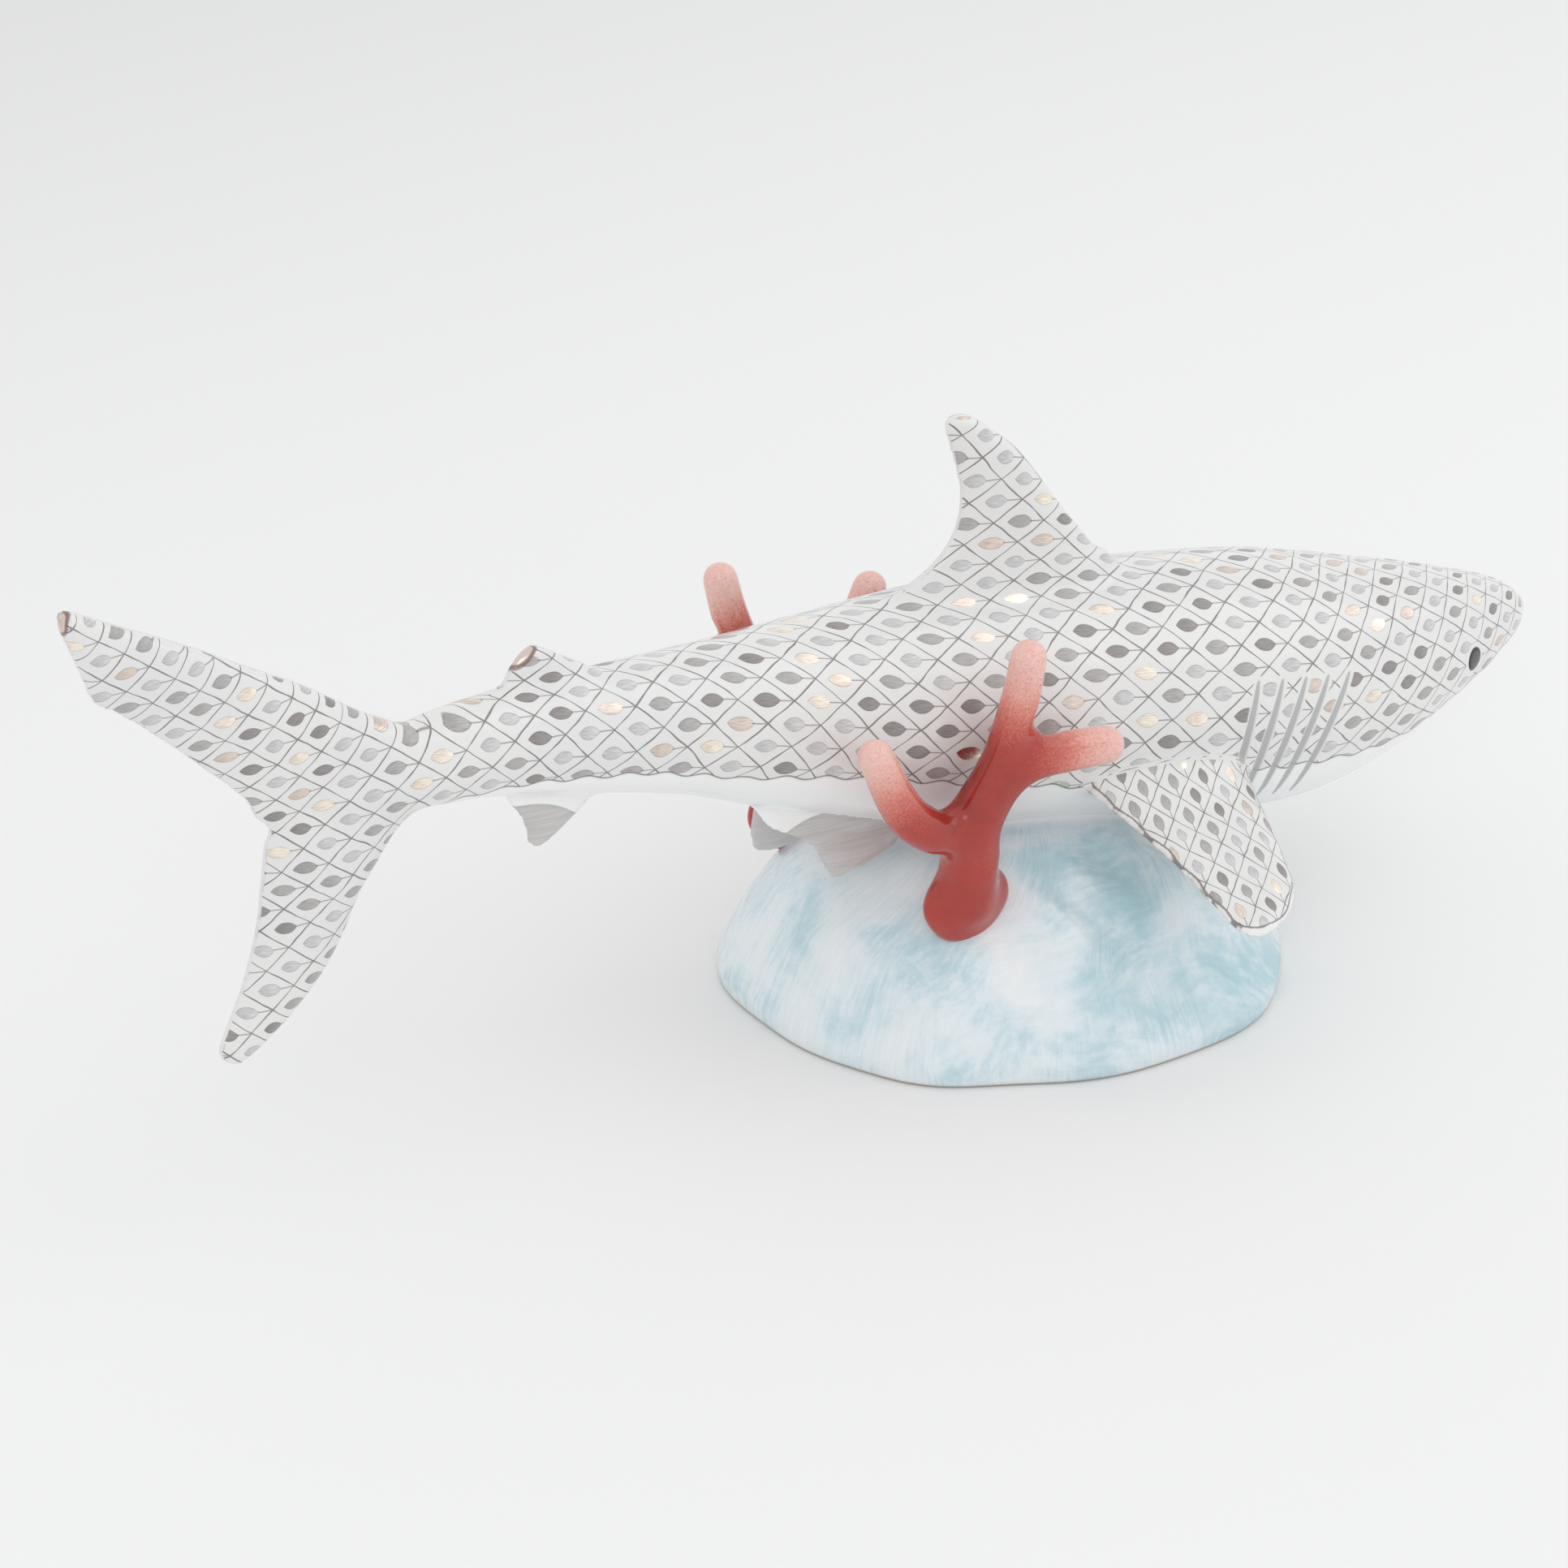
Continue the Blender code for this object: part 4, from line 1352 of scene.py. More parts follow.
def fused(skins: Sequence[Skin], grain: float) -> Skin:
    """Return one even-grained surface round several overlapping skins.

    Args:
        skins: Closed surfaces that overlap.
        grain: Edge length of the new faces in millimetres.

    Returns:
        The fused surface.
    """
    points = []
    faces = []
    total = 0
    for skin in skins:
        points.append(skin.points)
        faces.extend([[index + total for index in face] for face in skin.faces])
        total += len(skin.points)
    mesh = bpy.data.meshes.new("fusing")
    mesh.from_pydata((np.vstack(points) * MM).tolist(), [], faces)
    item = bpy.data.objects.new("fusing", mesh)
    bpy.context.scene.collection.objects.link(item)
    remesh = item.modifiers.new("remesh", "REMESH")
    remesh.mode = "VOXEL"
    remesh.voxel_size = grain * MM
    remesh.adaptivity = 0.0
    held = item.evaluated_get(bpy.context.evaluated_depsgraph_get())
    result = read_skin(held.to_mesh())
    held.to_mesh_clear()
    bpy.data.objects.remove(item, do_unlink=True)
    bpy.data.meshes.remove(mesh)
    return result


def refined(skin: Skin, chosen: Callable[[Array], Array], cuts: int) -> Skin:
    """Return a skin whose faces are split finer where a test of their centres says so.

    Args:
        skin: The surface.
        chosen: Returns which of the given places are to be finer.
        cuts: Cuts to each edge there.

    Returns:
        The finer surface.
    """
    mesh = bpy.data.meshes.new("refining")
    mesh.from_pydata((skin.points * MM).tolist(), [], skin.faces)
    work = bmesh.new()
    work.from_mesh(mesh)
    centres = np.array([face.calc_center_median() for face in work.faces]) / MM
    picked = chosen(centres)
    edges = {edge for face, flag in zip(work.faces, picked) if flag for edge in face.edges}
    edges = sorted(edges, key=lambda edge: edge.index)
    bmesh.ops.subdivide_edges(work, edges=edges, cuts=cuts, use_grid_fill=True)
    bmesh.ops.triangulate(work, faces=[face for face in work.faces if len(face.verts) > 4])
    work.to_mesh(mesh)
    work.free()
    result = read_skin(mesh)
    bpy.data.meshes.remove(mesh)
    return result


@dataclass
class Relaxer:
    """Smooths a skin's points towards the mean of their neighbours."""

    skin: Skin

    def __post_init__(self) -> None:
        """Gather the skin's edges once."""
        pairs = set()
        for face in self.skin.faces:
            for start, end in zip(face, face[1:] + face[:1]):
                pairs.add((start, end) if start < end else (end, start))
        self.pairs = np.array(sorted(pairs))
        count = len(self.skin.points)
        self.degree = np.bincount(self.pairs.ravel(), minlength=count)

    def relax(self, points: Array, rounds: int, factor: float,
              weight: Array | float = 1.0) -> Array:
        """Return points after rounds of smoothing.

        Args:
            points: Points of the skin.
            rounds: Number of rounds.
            factor: Share of the way to the neighbours' mean in a round.
            weight: Further share for each point.

        Returns:
            The smoothed points.
        """
        share = np.broadcast_to(factor * np.asarray(weight), (len(points),))[:, None]
        start, end = self.pairs.T
        for _ in range(rounds):
            total = np.empty_like(points)
            for axis in range(3):
                column = points[:, axis]
                total[:, axis] = (np.bincount(start, column[end], len(points))
                                  + np.bincount(end, column[start], len(points)))
            points = points + share * (total / self.degree[:, None] - points)
        return points


def nearest_parts(parts: Sequence[Skin], points: Array, margin: float) -> tuple[Array, Array]:
    """Return each point's distance to each part and the nearest place on it.

    Args:
        parts: Surfaces of the parts.
        points: Points in millimetres.
        margin: How far round a part's box its distances are measured.

    Returns:
        Distances (FAR beyond a part's surroundings) and places, by point and part.
    """
    reach = np.full((len(points), len(parts)), FAR)
    spots = np.zeros((len(points), len(parts), 3))
    for column, skin in enumerate(parts):
        tree = skin.tree()
        near = np.all((points > skin.low() - margin) & (points < skin.high() + margin), axis=1)
        for row in np.flatnonzero(near):
            spot, _, _, gap = tree.find_nearest(points[row])
            reach[row, column] = gap
            spots[row, column] = spot
    return reach, spots


@dataclass
class Gills:
    """Five painted grooves on each side of the head."""

    count: int = 5
    top_station: float = 42.4
    top_pitch: float = 6.0
    bottom_station: float = 42.6
    bottom_pitch: float = 4.1
    top_angle: float = 24.0
    bottom_angle: float = -38.0
    depth: float = 0.75
    half_width: float = 1.1
    bow: float = 1.8
    fullness_power: float = 0.55
    margin: float = 4.0
    steps: int = 16

    def course(self, spine: Spine, side: Side, index: int) -> Array:
        """Return one groove's points on the skin, from its top down.

        Args:
            spine: The spine.
            side: Side of the shark.
            index: The groove's number.

        Returns:
            The points.
        """
        points = []
        for share in np.linspace(0.0, 1.0, self.steps + 1):
            degrees = self.top_angle + (self.bottom_angle - self.top_angle) * share
            if side is Side.RIGHT:
                degrees = 180.0 - degrees
            top = self.top_station + index * self.top_pitch
            bottom = self.bottom_station + index * self.bottom_pitch
            station = (top + (bottom - top) * share * (1.4 - 0.4 * share)
                       - self.bow * math.sin(math.pi * share))
            points.append(spine.skin_point(station, degrees))
        return np.array(points)

    def measure(self, spine: Spine, points: Array) -> tuple[Array, Array]:
        """Return each point's distance to the nearest groove and the groove's fullness there.

        Args:
            spine: The shark's spine.
            points: Points in millimetres.

        Returns:
            The distances, and shares that taper to 0 at the grooves' ends.
        """
        reach = np.full(len(points), FAR)
        taper = np.zeros(len(points))
        for side in Side:
            for index in range(self.count):
                course = self.course(spine, side, index)
                low = course.min(axis=0) - self.margin
                high = course.max(axis=0) + self.margin
                near = np.flatnonzero(np.all((points > low) & (points < high), axis=1))
                for step, (start, end) in enumerate(zip(course, course[1:])):
                    run = end - start
                    share = np.clip((points[near] - start) @ run / (run @ run), 0.0, 1.0)
                    gap = np.linalg.norm(points[near] - start - share[:, None] * run, axis=1)
                    closer = gap < reach[near]
                    along = (step + share) / self.steps
                    reach[near] = np.where(closer, gap, reach[near])
                    full = np.sin(np.pi * np.clip(along, 0.0, 1.0)) ** self.fullness_power
                    taper[near] = np.where(closer, full, taper[near])
        return reach, taper


@dataclass
class Eyes:
    """Two small upright oval eyes, slightly raised."""

    station: float = 106.2
    degrees: float = 1.0
    half_length: float = 2.2
    half_height: float = 2.65
    bulge: float = 0.3

    def measure(self, spine: Spine, points: Array) -> Array:
        """Return how far out of the nearer eye each point lies, 1 on its rim.

        Args:
            spine: The spine.
            points: Points.

        Returns:
            The distances, in eye sizes.
        """
        reach = np.full(len(points), FAR)
        for side in Side:
            degrees = self.degrees if side is Side.LEFT else 180.0 - self.degrees
            centre = spine.skin_point(self.station, degrees)
            heading, _, up = spine.axes(self.station)
            offset = points - centre
            same = np.sign(points[:, 1] - centre[1] * 0.5) == side.value
            gap = np.hypot(offset @ heading[0] / self.half_length, offset @ up[0] / self.half_height)
            reach = np.where(same, np.minimum(reach, gap), reach)
        return reach


@dataclass
class SharkForm:
    """The shark with its fins, fused, with gill grooves and eyes, and its painted pattern."""

    spine: Spine = field(default_factory=Spine)
    gills: Gills = field(default_factory=Gills)
    eyes: Eyes = field(default_factory=Eyes)
    grain: float = 0.92
    settle_rounds: int = 5
    fillet_start: float = 0.3
    fillet: float = 2.6
    fillet_rounds: int = 22
    # Finer faces by the gill grooves (millimetres) and the eyes (eye sizes)
    fine_cuts: int = 2
    fine_gill_reach: float = 1.9
    fine_eye_reach: float = 1.6
    # Lower edge of the pattern: station and millimetres below the lateral line
    belly_line: tuple[Row, ...] = (
        (130.0, 0.4), (118.0, 3.0), (109.0, 5.2), (96.0, 9.2), (82.0, 9.4), (66.0, 8.1),
        (50.0, 8.2), (30.0, 10.0), (10.0, 11.0), (-5.0, 8.7), (-30.0, 6.7), (-50.0, 5.9),
        (-70.0, 7.6), (-92.0, 5.2), (-115.0, 5.4), (-131.0, 6.6), (-140.0, 14.0),
        (-150.0, 90.0), (-240.0, 400.0),
    )
    belly_wave: float = 0.5
    belly_wave_length: float = 8.5
    # Trellis cells: station, length along the body and height round it
    cells: tuple[Row, ...] = (
        (130.0, 6.6, 6.0), (110.0, 8.2, 7.6), (85.0, 10.6, 9.0), (40.0, 11.6, 9.6),
        (-60.0, 11.2, 9.2), (-120.0, 9.6, 8.2), (-160.0, 9.0, 7.8), (-240.0, 8.4, 7.4),
    )
    planar_start: float = -112.0
    planar_end: float = -134.0
    pectoral_cell: Row = (8.4, 7.0)
    pectoral_border: float = 1.0
    pectoral_wave: float = 0.25
    pectoral_wrap: float = 1.2
    # Gilt caps: place ahead of and above the tip, tilt, half length and half width
    rear_dorsal_cap: Row = (-1.9, -1.1, 42.0, 3.6, 1.9)
    upper_lobe_cap: Row = (0.4, -0.6, 70.0, 2.4, 1.9)
    # Grey washes: fin, distance out to the wash, middle of its curved edge and the curve
    washes: tuple[tuple[str, float, float, float], ...] = (
        ("anal", 1.4, -4.0, 0.040), ("left_pelvic", -0.6, -1.0, 0.034),
        ("right_pelvic", -0.3, -1.0, 0.034),
    )
    wash_reach: float = 2.2

    def __post_init__(self) -> None:
        """Set out the fins on the spine."""
        self.fins = {
            "dorsal": dorsal_fin(self.spine),
            "rear_dorsal": rear_dorsal_fin(self.spine),
            "anal": anal_fin(self.spine),
        }
        for side in Side:
            name = side.name.lower()
            self.fins[f"{name}_pectoral"] = pectoral_fin(self.spine, side)
            self.fins[f"{name}_pelvic"] = pelvic_fin(self.spine, side)

    def skins(self) -> dict[str, Skin]:
        """Return the surface of each part by name.

        Returns:
            The surfaces.
        """
        parts = {"body": self.spine.skin()}
        parts.update({name: fin.skin() for name, fin in self.fins.items()})
        for lobe in (UPPER_LOBE, LOWER_LOBE):
            parts[f"{lobe.lobe.name.lower()}_lobe"] = lobe.skin(self.spine)
        return parts

    def build(self, kiln: Kiln, finish: PaintedShark) -> bpy.types.Object:
        """Model and paint the shark.

        Args:
            kiln: Makes the piece.
            finish: The shark's glaze.

        Returns:
            The piece.
        """
        parts = self.skins()
        skin = fused(list(parts.values()), self.grain)
        skin = refined(skin, self.fine_places, self.fine_cuts)
        relaxer = Relaxer(skin)
        points = relaxer.relax(skin.points, self.settle_rounds, 0.5)
        reach, spots = nearest_parts(list(parts.values()), points, self.fillet + 3.0)
        order = np.sort(reach, axis=1)
        firm = smooth_share(order[:, 1] - order[:, 0], self.fillet_start, self.fillet)
        first = np.argmin(reach, axis=1)
        target = spots[np.arange(len(points)), first]
        points = points + (target - points) * firm[:, None]
        points = relaxer.relax(points, self.fillet_rounds, 0.5, 1.0 - firm)
        points = relaxer.relax(points, 2, 0.35)
        painted = self.paint(points, list(parts), reach)
        skin.points = self.carve(points)
        return kiln.piece("shark", skin, finish.material(), painted)

    def fine_places(self, places: Array) -> Array:
        """Return which places lie by a gill groove or an eye.

        Args:
            places: Places in millimetres.

        Returns:
            A flag for each place.
        """
        reach, _ = self.gills.measure(self.spine, places)
        eye = self.eyes.measure(self.spine, places)
        return (reach < self.fine_gill_reach) | (eye < self.fine_eye_reach)

    def carve(self, points: Array) -> Array:
        """Return the points with the gill grooves sunk and the eyes raised.

        Args:
            points: Points.

        Returns:
            The carved points.
        """
        places = self.spine.locate(points)
        _, side, up = self.spine.axes(places.station)
        outward = unit(side * (places.across / places.half_width ** 2)[:, None]
                       + up * (places.above / places.half_height ** 2)[:, None])
        reach, taper = self.gills.measure(self.spine, points)
        width = self.gills.half_width * (0.35 + 0.65 * taper)
        sink = self.gills.depth * taper * np.exp(-(reach / (0.72 * width)) ** 2)
        eye = np.clip(1.0 - self.eyes.measure(self.spine, points) ** 2, 0.0, 1.0)
        return points + outward * (self.eyes.bulge * np.sqrt(eye) - sink)[:, None]

    def paint(self, points: Array, names: list[str], reach: Array) -> dict[str, Array]:
        """Return the numbers that the glaze is painted by.

        Args:
            points: The shark's points.
            names: The parts' names, in the order of the distances.
            reach: Distance of each point to each part.

        Returns:
            Chart places in trellis cells, and distances in millimetres to edges.
        """
        places = self.spine.locate(points)
        chart, above = self.body_chart(points, places)
        wave = np.sin(places.station * 2 * np.pi / self.belly_wave_length)
        edge = above + self.belly_depth(places.station) + self.belly_wave * wave
        seam = np.full(len(points), FAR)
        body = reach[:, names.index("body")]
        for side in Side:
            name = f"{side.name.lower()}_pectoral"
            gap = reach[:, names.index(name)]
            near = gap < FAR
            seam = np.where(near, np.minimum(seam, np.abs(body - gap)), seam)
            fin_chart, fin_edge = self.pectoral_chart(self.fins[name], points)
            on_fin = near & (body > gap)
            chart[on_fin] = fin_chart[on_fin]
            edge = np.where(on_fin, fin_edge, edge)
        seam = np.where(edge > -0.6, seam, FAR)
        gill_reach, taper = self.gills.measure(self.spine, points)
        width = self.gills.half_width * (0.3 + 0.7 * taper)
        return {
            "chart": chart,
            "edge": np.clip(edge, -FAR, FAR),
            "seam": seam,
            "rim": self.rim_distance(points, names, reach),
            "wash": self.wash_distance(points, names, reach),
            "gilt": self.gilt_distance(points),
            "gill": np.clip(1.0 - gill_reach / width, 0.0, 1.0),
            "gill_reach": gill_reach,
            "eye": self.eyes.measure(self.spine, points),
        }

    def wash_distance(self, points: Array, names: list[str], reach: Array) -> Array:
        """Return how far inside the grey washes of the under fins points lie.

        Args:
            points: The shark's points.
            names: The parts' names, in the order of the distances.
            reach: Distance of each point to each part.

        Returns:
            The distances, below zero outside the washes.
        """
        wash = np.full(len(points), -FAR)
        for name, depth, middle, curve in self.washes:
            ahead, out, _ = self.fins[name].chart(points)
            on_fin = reach[:, names.index(name)] < self.wash_reach
            limit = out - depth - curve * (ahead - middle) ** 2
            wash = np.where(on_fin, np.maximum(wash, limit), wash)
        return wash

    def gilt_distance(self, points: Array) -> Array:
        """Return how far inside the gilt caps of the two fin tips points lie.

        Args:
            points: The shark's points.

        Returns:
            The distances, below zero outside the caps.
        """
        gilt = np.full(len(points), -FAR)
        caps = (
            (self.fins["rear_dorsal"].tip_point(), self.rear_dorsal_cap),
            (UPPER_LOBE.place(self.spine, *UPPER_LOBE.tip), self.upper_lobe_cap),
        )
        for tip, (ahead, above, tilt, half_length, half_width) in caps:
            offset = points - tip - (ahead, 0.0, above)
            tilt = math.radians(tilt)
            course = np.array((math.cos(tilt), 0.0, math.sin(tilt)))
            along = offset @ course
            across = np.linalg.norm(offset - along[:, None] * course, axis=1)
            gap = np.hypot(along / half_length, across / half_width)
            gilt = np.maximum(gilt, (1.0 - gap) * half_width)
        return gilt

    def rim_distance(self, points: Array, names: list[str], reach: Array) -> Array:
        """Return how far points of the upright fins lie from the fin's middle plane.

        Args:
            points: The shark's points.
            names: The parts' names, in the order of the distances.
            reach: Distance of each point to each part.

        Returns:
            The distances, FAR on the other parts.
        """
        rim = np.full(len(points), FAR)
        body = reach[:, names.index("body")]
        origin = self.spine.at(UPPER_LOBE.station)[0, :3]
        side = unit(np.cross(UP, self.spine.level_heading(UPPER_LOBE.station)))
        planes = {name: self.fins[name].chart(points)[2] for name in ("dorsal", "rear_dorsal")}
        for lobe in Lobe:
            planes[f"{lobe.name.lower()}_lobe"] = (points - origin) @ side
        for name, across in planes.items():
            on_fin = reach[:, names.index(name)] + 1.5 < body
            rim = np.where(on_fin, np.minimum(rim, np.abs(across)), rim)
        return rim

    def belly_depth(self, station: Array) -> Array:
        """Return how far below the lateral line the pattern ends."""
        table = np.array(self.belly_line)[::-1]
        return np.interp(station, table[:, 0], table[:, 1])

    def body_chart(self, points: Array, places: BodyPlaces) -> tuple[Array, Array]:
        """Return the trellis chart of the body, dorsal fins and tail.

        Args:
            points: The shark's points.
            places: The same points relative to the spine.

        Returns:
            Chart places in cells, and heights above the lateral line in millimetres.
        """
        turn = places.turn()
        fullness = places.fullness()
        radius = np.hypot(places.across, places.above)
        beyond = radius * np.clip(1.0 - 1.0 / np.maximum(fullness, 1.0), 0.0, 1.0)
        rounded = places.way_round(turn) + np.sign(turn) * beyond
        planar = smooth_share(-places.station, -self.planar_start, -self.planar_end)
        above = rounded * (1.0 - planar) + places.above * planar
        quarter = places.way_round(np.full(len(points), np.pi / 2))
        crest = quarter * (1.0 - planar) + places.half_height * planar
        unrolled = np.where(places.across > 0.0, 2.0 * crest - above, above)
        table = np.array(self.cells)[::-1]
        stations = np.linspace(table[0, 0], table[-1, 0], 800)
        lengths = np.interp(stations, table[:, 0], table[:, 1])
        counted = np.concatenate(([0.0], np.cumsum(np.diff(stations) / lengths[1:])))
        along = np.interp(places.station, stations, counted)
        height = np.interp(places.station, table[:, 0], table[:, 2])
        chart = np.stack((along, unrolled / height, np.zeros(len(points))), axis=-1)
        return chart, above

    def pectoral_chart(self, fin: Fin, points: Array) -> tuple[Array, Array]:
        """Return the trellis chart of a pectoral fin's upper face and how far inside it lies.

        Args:
            fin: The fin.
            points: Points.

        Returns:
            Chart places, and distances inside.
        """
        ahead, out, _ = fin.chart(points)
        length, width = self.pectoral_cell
        chart = np.stack((out / length + 31.0, ahead / width + 0.25, np.zeros(len(points))),
                         axis=-1)
        normal = unit(np.cross(fin.forward, fin.outward))
        normal = normal * np.sign(normal[2])
        top = (points - fin.origin) @ normal
        inside = np.minimum(fin.edge_distance(points), (fin.tip[0] * fin.height - out) * 0.9)
        wave = self.pectoral_wave * np.sin(out * 2 * np.pi / self.belly_wave_length)
        edge = np.minimum(inside - self.pectoral_border - wave, top + self.pectoral_wrap)
        return chart, edge


@dataclass
class WaveFoot:
    """The wave-shaped foot: a swelling dome, hollow below, that runs up into the belly."""

    spine: Spine
    outline: tuple[Row, ...] = (
        (54.0, 4.0), (53.2, -24.0), (33.5, -46.2), (7.0, -51.6), (-19.0, -47.0),
        (-43.0, -31.5), (-56.0, -6.0), (-55.0, 20.0), (-41.0, 39.0), (-16.0, 48.5),
        (12.0, 49.0), (38.0, 38.0),
    )
    steps: int = 20
    rim_inset: float = 1.2
    rim_height: float = 4.0
    rim_rounding: float = 0.6
    rim_rings: int = 6
    apex: Row = (-14.0, 0.0)
    crest_sink: float = 1.8
    roundness: float = 2.8
    wall: float = 5.0
    rings: int = 64
    hollow_rings: int = 22
    fillet_rings: int = 8
    fillet_reach: float = 7.0
    fillet_top_share: float = 0.8
    fillet_rise: float = 9.0
    # How far the skin runs on inside the belly
    belly_sink: float = 0.15
    inside_share: float = 0.8
    inside_rise: float = 3.0
    top_rise: float = 5.0
    ripple_height: float = 0.6
    ripple_length: float = 17.0
    rim_wobble: float = 0.45
    rim_tint: float = 0.3
    brush_width: float = 0.8
    brush_length: float = 5.5
    # Swells of the wave relief: forward, sideways, rise and width
    swells: tuple[Row, ...] = (
        (-40.0, -22.0, -2.2, 7.5), (-28.0, -38.0, 1.5, 8.5), (2.0, -37.0, -1.5, 8.5),
        (27.0, -31.0, 2.0, 7.5), (38.0, -18.0, -1.9, 6.5), (44.0, 12.0, 1.6, 10.0),
        (20.0, 36.0, -1.9, 10.0), (-8.0, 38.0, 1.8, 10.0), (-44.0, 14.0, 1.5, 9.0),
    )
    # Pools of stronger colour: forward, sideways, depth of colour and width
    tints: tuple[Row, ...] = (
        (-43.0, -20.0, 1.0, 6.0), (-51.0, -2.0, 0.8, 6.0), (-33.0, -30.0, 0.6, 6.0),
        (0.0, -40.0, 0.9, 7.0), (11.0, -31.0, 1.1, 7.0), (11.0, -45.0, 0.9, 5.0),
        (-2.0, -21.0, 1.3, 8.0), (-12.0, -47.0, 0.8, 7.0), (28.0, -45.0, 1.4, 7.0),
        (42.0, -36.0, 1.2, 6.0), (-20.0, -12.0, 0.7, 7.0), (-18.0, -34.0, -0.1, 6.0),
        (-44.0, 16.0, 0.8, 8.0), (-20.0, 36.0, 0.9, 8.0), (10.0, 40.0, 0.8, 9.0),
        (38.0, 24.0, 0.9, 9.0), (44.0, -4.0, 0.8, 8.0), (24.0, 26.0, -0.6, 8.0),
    )

    def edge_points(self) -> Array:
        """Return the outline's points on the table."""
        return spline(self.outline, self.steps, closed=True)

    def crest(self) -> float:
        """Return the height of the dome's crest, just inside the belly."""
        return float(self.spine.skin_point(self.apex[0], -90.0)[2]) + self.crest_sink

    def height(self, share: Array, x: Array, y: Array) -> Array:
        """Return the dome's height at a share of the way from its apex to its edge.

        Args:
            share: Shares of the way.
            x: Places along X.
            y: Places along Y.

        Returns:
            The heights.
        """
        body = (self.crest() - self.rim_height) * (1.0 - share ** self.roundness)
        rise = np.zeros_like(body)
        for centre_x, centre_y, lift, width in self.swells:
            gap = (x - centre_x) ** 2 + (y - centre_y) ** 2
            rise = rise + lift * np.exp(-gap / (2 * width ** 2))
        return self.rim_height + body + rise * (1.0 - share ** 6)

    def surface(self, x: float, y: float) -> float:
        """Return the dome's height at a place inside its outline.

        Args:
            x: Place along X.
            y: Place along Y.

        Returns:
            The height.
        """
        apex = np.array(self.apex)
        reach = self.edge_points() - apex
        target = np.array((x, y)) - apex
        bearing = np.arctan2(reach[:, 1], reach[:, 0]) - math.atan2(target[1], target[0])
        best = reach[np.argmin(np.abs(np.angle(np.exp(1j * bearing))))]
        share = np.linalg.norm(target) / np.linalg.norm(best)
        return float(self.height(np.array(share), np.array(x), np.array(y)))

    def ripples(self, x: Array, y: Array) -> Array:
        """Return the rise of the small ripples that flow over the waves.

        Args:
            x: Places along X.
            y: Places along Y.

        Returns:
            The rises.
        """
        bend = 2.1 * np.sin(x / 19.0 + 0.6) + 1.7 * np.cos(y / 15.0)
        turn = 2 * np.pi / self.ripple_length
        first = np.sin((0.82 * x + 0.57 * y) * turn + bend)
        second = np.sin((0.35 * x - 0.94 * y) * turn * 0.62 - bend)
        return self.ripple_height * (first + 0.7 * second)

    def uneven(self, reach: Array) -> Array:
        """Return the outline's reaches from the apex with a hand-trimmed unevenness.

        Args:
            reach: Runs from the apex to the edge.

        Returns:
            The uneven runs.
        """
        bearing = np.arctan2(reach[:, 1], reach[:, 0])
        wave = np.sin(5 * bearing + 0.8) + 0.7 * np.sin(9 * bearing + 2.1)
        length = np.linalg.norm(reach, axis=1)
        return reach * (1.0 + self.rim_wobble * wave / length)[:, None]

    def flow(self, points: Array) -> Array:
        """Return the brush's course: strokes that stand on the rim and lean higher up.

        Args:
            points: The foot's points.

        Returns:
            Places on a cylinder of unit strokes, one for each point.
        """
        edge = self.edge_points()
        radius = np.hypot(*edge.T)
        bearing = np.arctan2(edge[:, 1], edge[:, 0])
        order = np.argsort(bearing)
        turn = np.arctan2(points[:, 1], points[:, 0])
        rim = np.interp(turn, bearing[order], radius[order], period=2 * np.pi)
        inward = rim - np.hypot(points[:, 0], points[:, 1])
        turn = turn - 0.9 * np.maximum(inward - 9.0, 0.0) / rim.mean()
        wide = rim.mean() / self.brush_width
        return np.column_stack((wide * np.cos(turn), wide * np.sin(turn),
                                inward / self.brush_length))

    def touch_share(self, reach: Array) -> tuple[Array, Array]:
        """Return where the dome leaves the belly on each bearing, as shares and heights.

        Args:
            reach: Runs from the apex to the edge.

        Returns:
            The shares of each run, and the heights there.
        """
        shares = np.linspace(0.05, 0.95, 181)
        found = np.full(len(reach), shares[0])
        level = np.full(len(reach), self.crest())
        open_still = np.ones(len(reach), dtype=bool)
        for share in shares:
            x = self.apex[0] + reach[:, 0] * share
            y = self.apex[1] + reach[:, 1] * share
            dome = self.height(np.full(len(reach), share), x, y)
            leaves = open_still & (dome < self.spine.belly_height(x, y))
            found[leaves] = share
            level[leaves] = dome[leaves]
            open_still &= ~leaves
        return found, level

    def skin(self) -> Skin:
        """Return the foot's surface: hollow, rim, dome and the sweep up to the belly.

        Returns:
            The surface.
        """
        reach = self.uneven(self.edge_points() - np.array(self.apex))
        length = np.linalg.norm(reach, axis=1)
        crown = self.crest() - self.crest_sink - self.wall
        touch, level = (self.even(values) for values in self.touch_share(reach))
        low = touch + self.fillet_reach / length
        high = touch + self.fillet_top_share * self.fillet_reach / length
        corner = self.ring(reach * touch[:, None], level)
        roof = self.spine.belly_height(*self.ring(reach * high[:, None], 0.0).T[:2])
        roof = np.minimum(roof, level + self.fillet_rise)
        end = self.ring(reach * high[:, None], roof + self.belly_sink)
        rings = [*self.hollow(reach, length, crown), *self.dome(reach, low)]
        start = rings[-1]
        for step in np.linspace(0.0, 1.0, self.fillet_rings + 1)[1:]:
            bend = (1 - step) ** 2 * start + 2 * step * (1 - step) * corner + step ** 2 * end
            rings.append(bend)
        inside = end.copy()
        inside[:, :2] = self.apex + (inside[:, :2] - self.apex) * self.inside_share
        inside[:, 2] += self.inside_rise
        rings.append(inside)
        top = self.crest() + self.top_rise
        return loft(np.array(rings), np.array((*self.apex, crown)), np.array((*self.apex, top)))

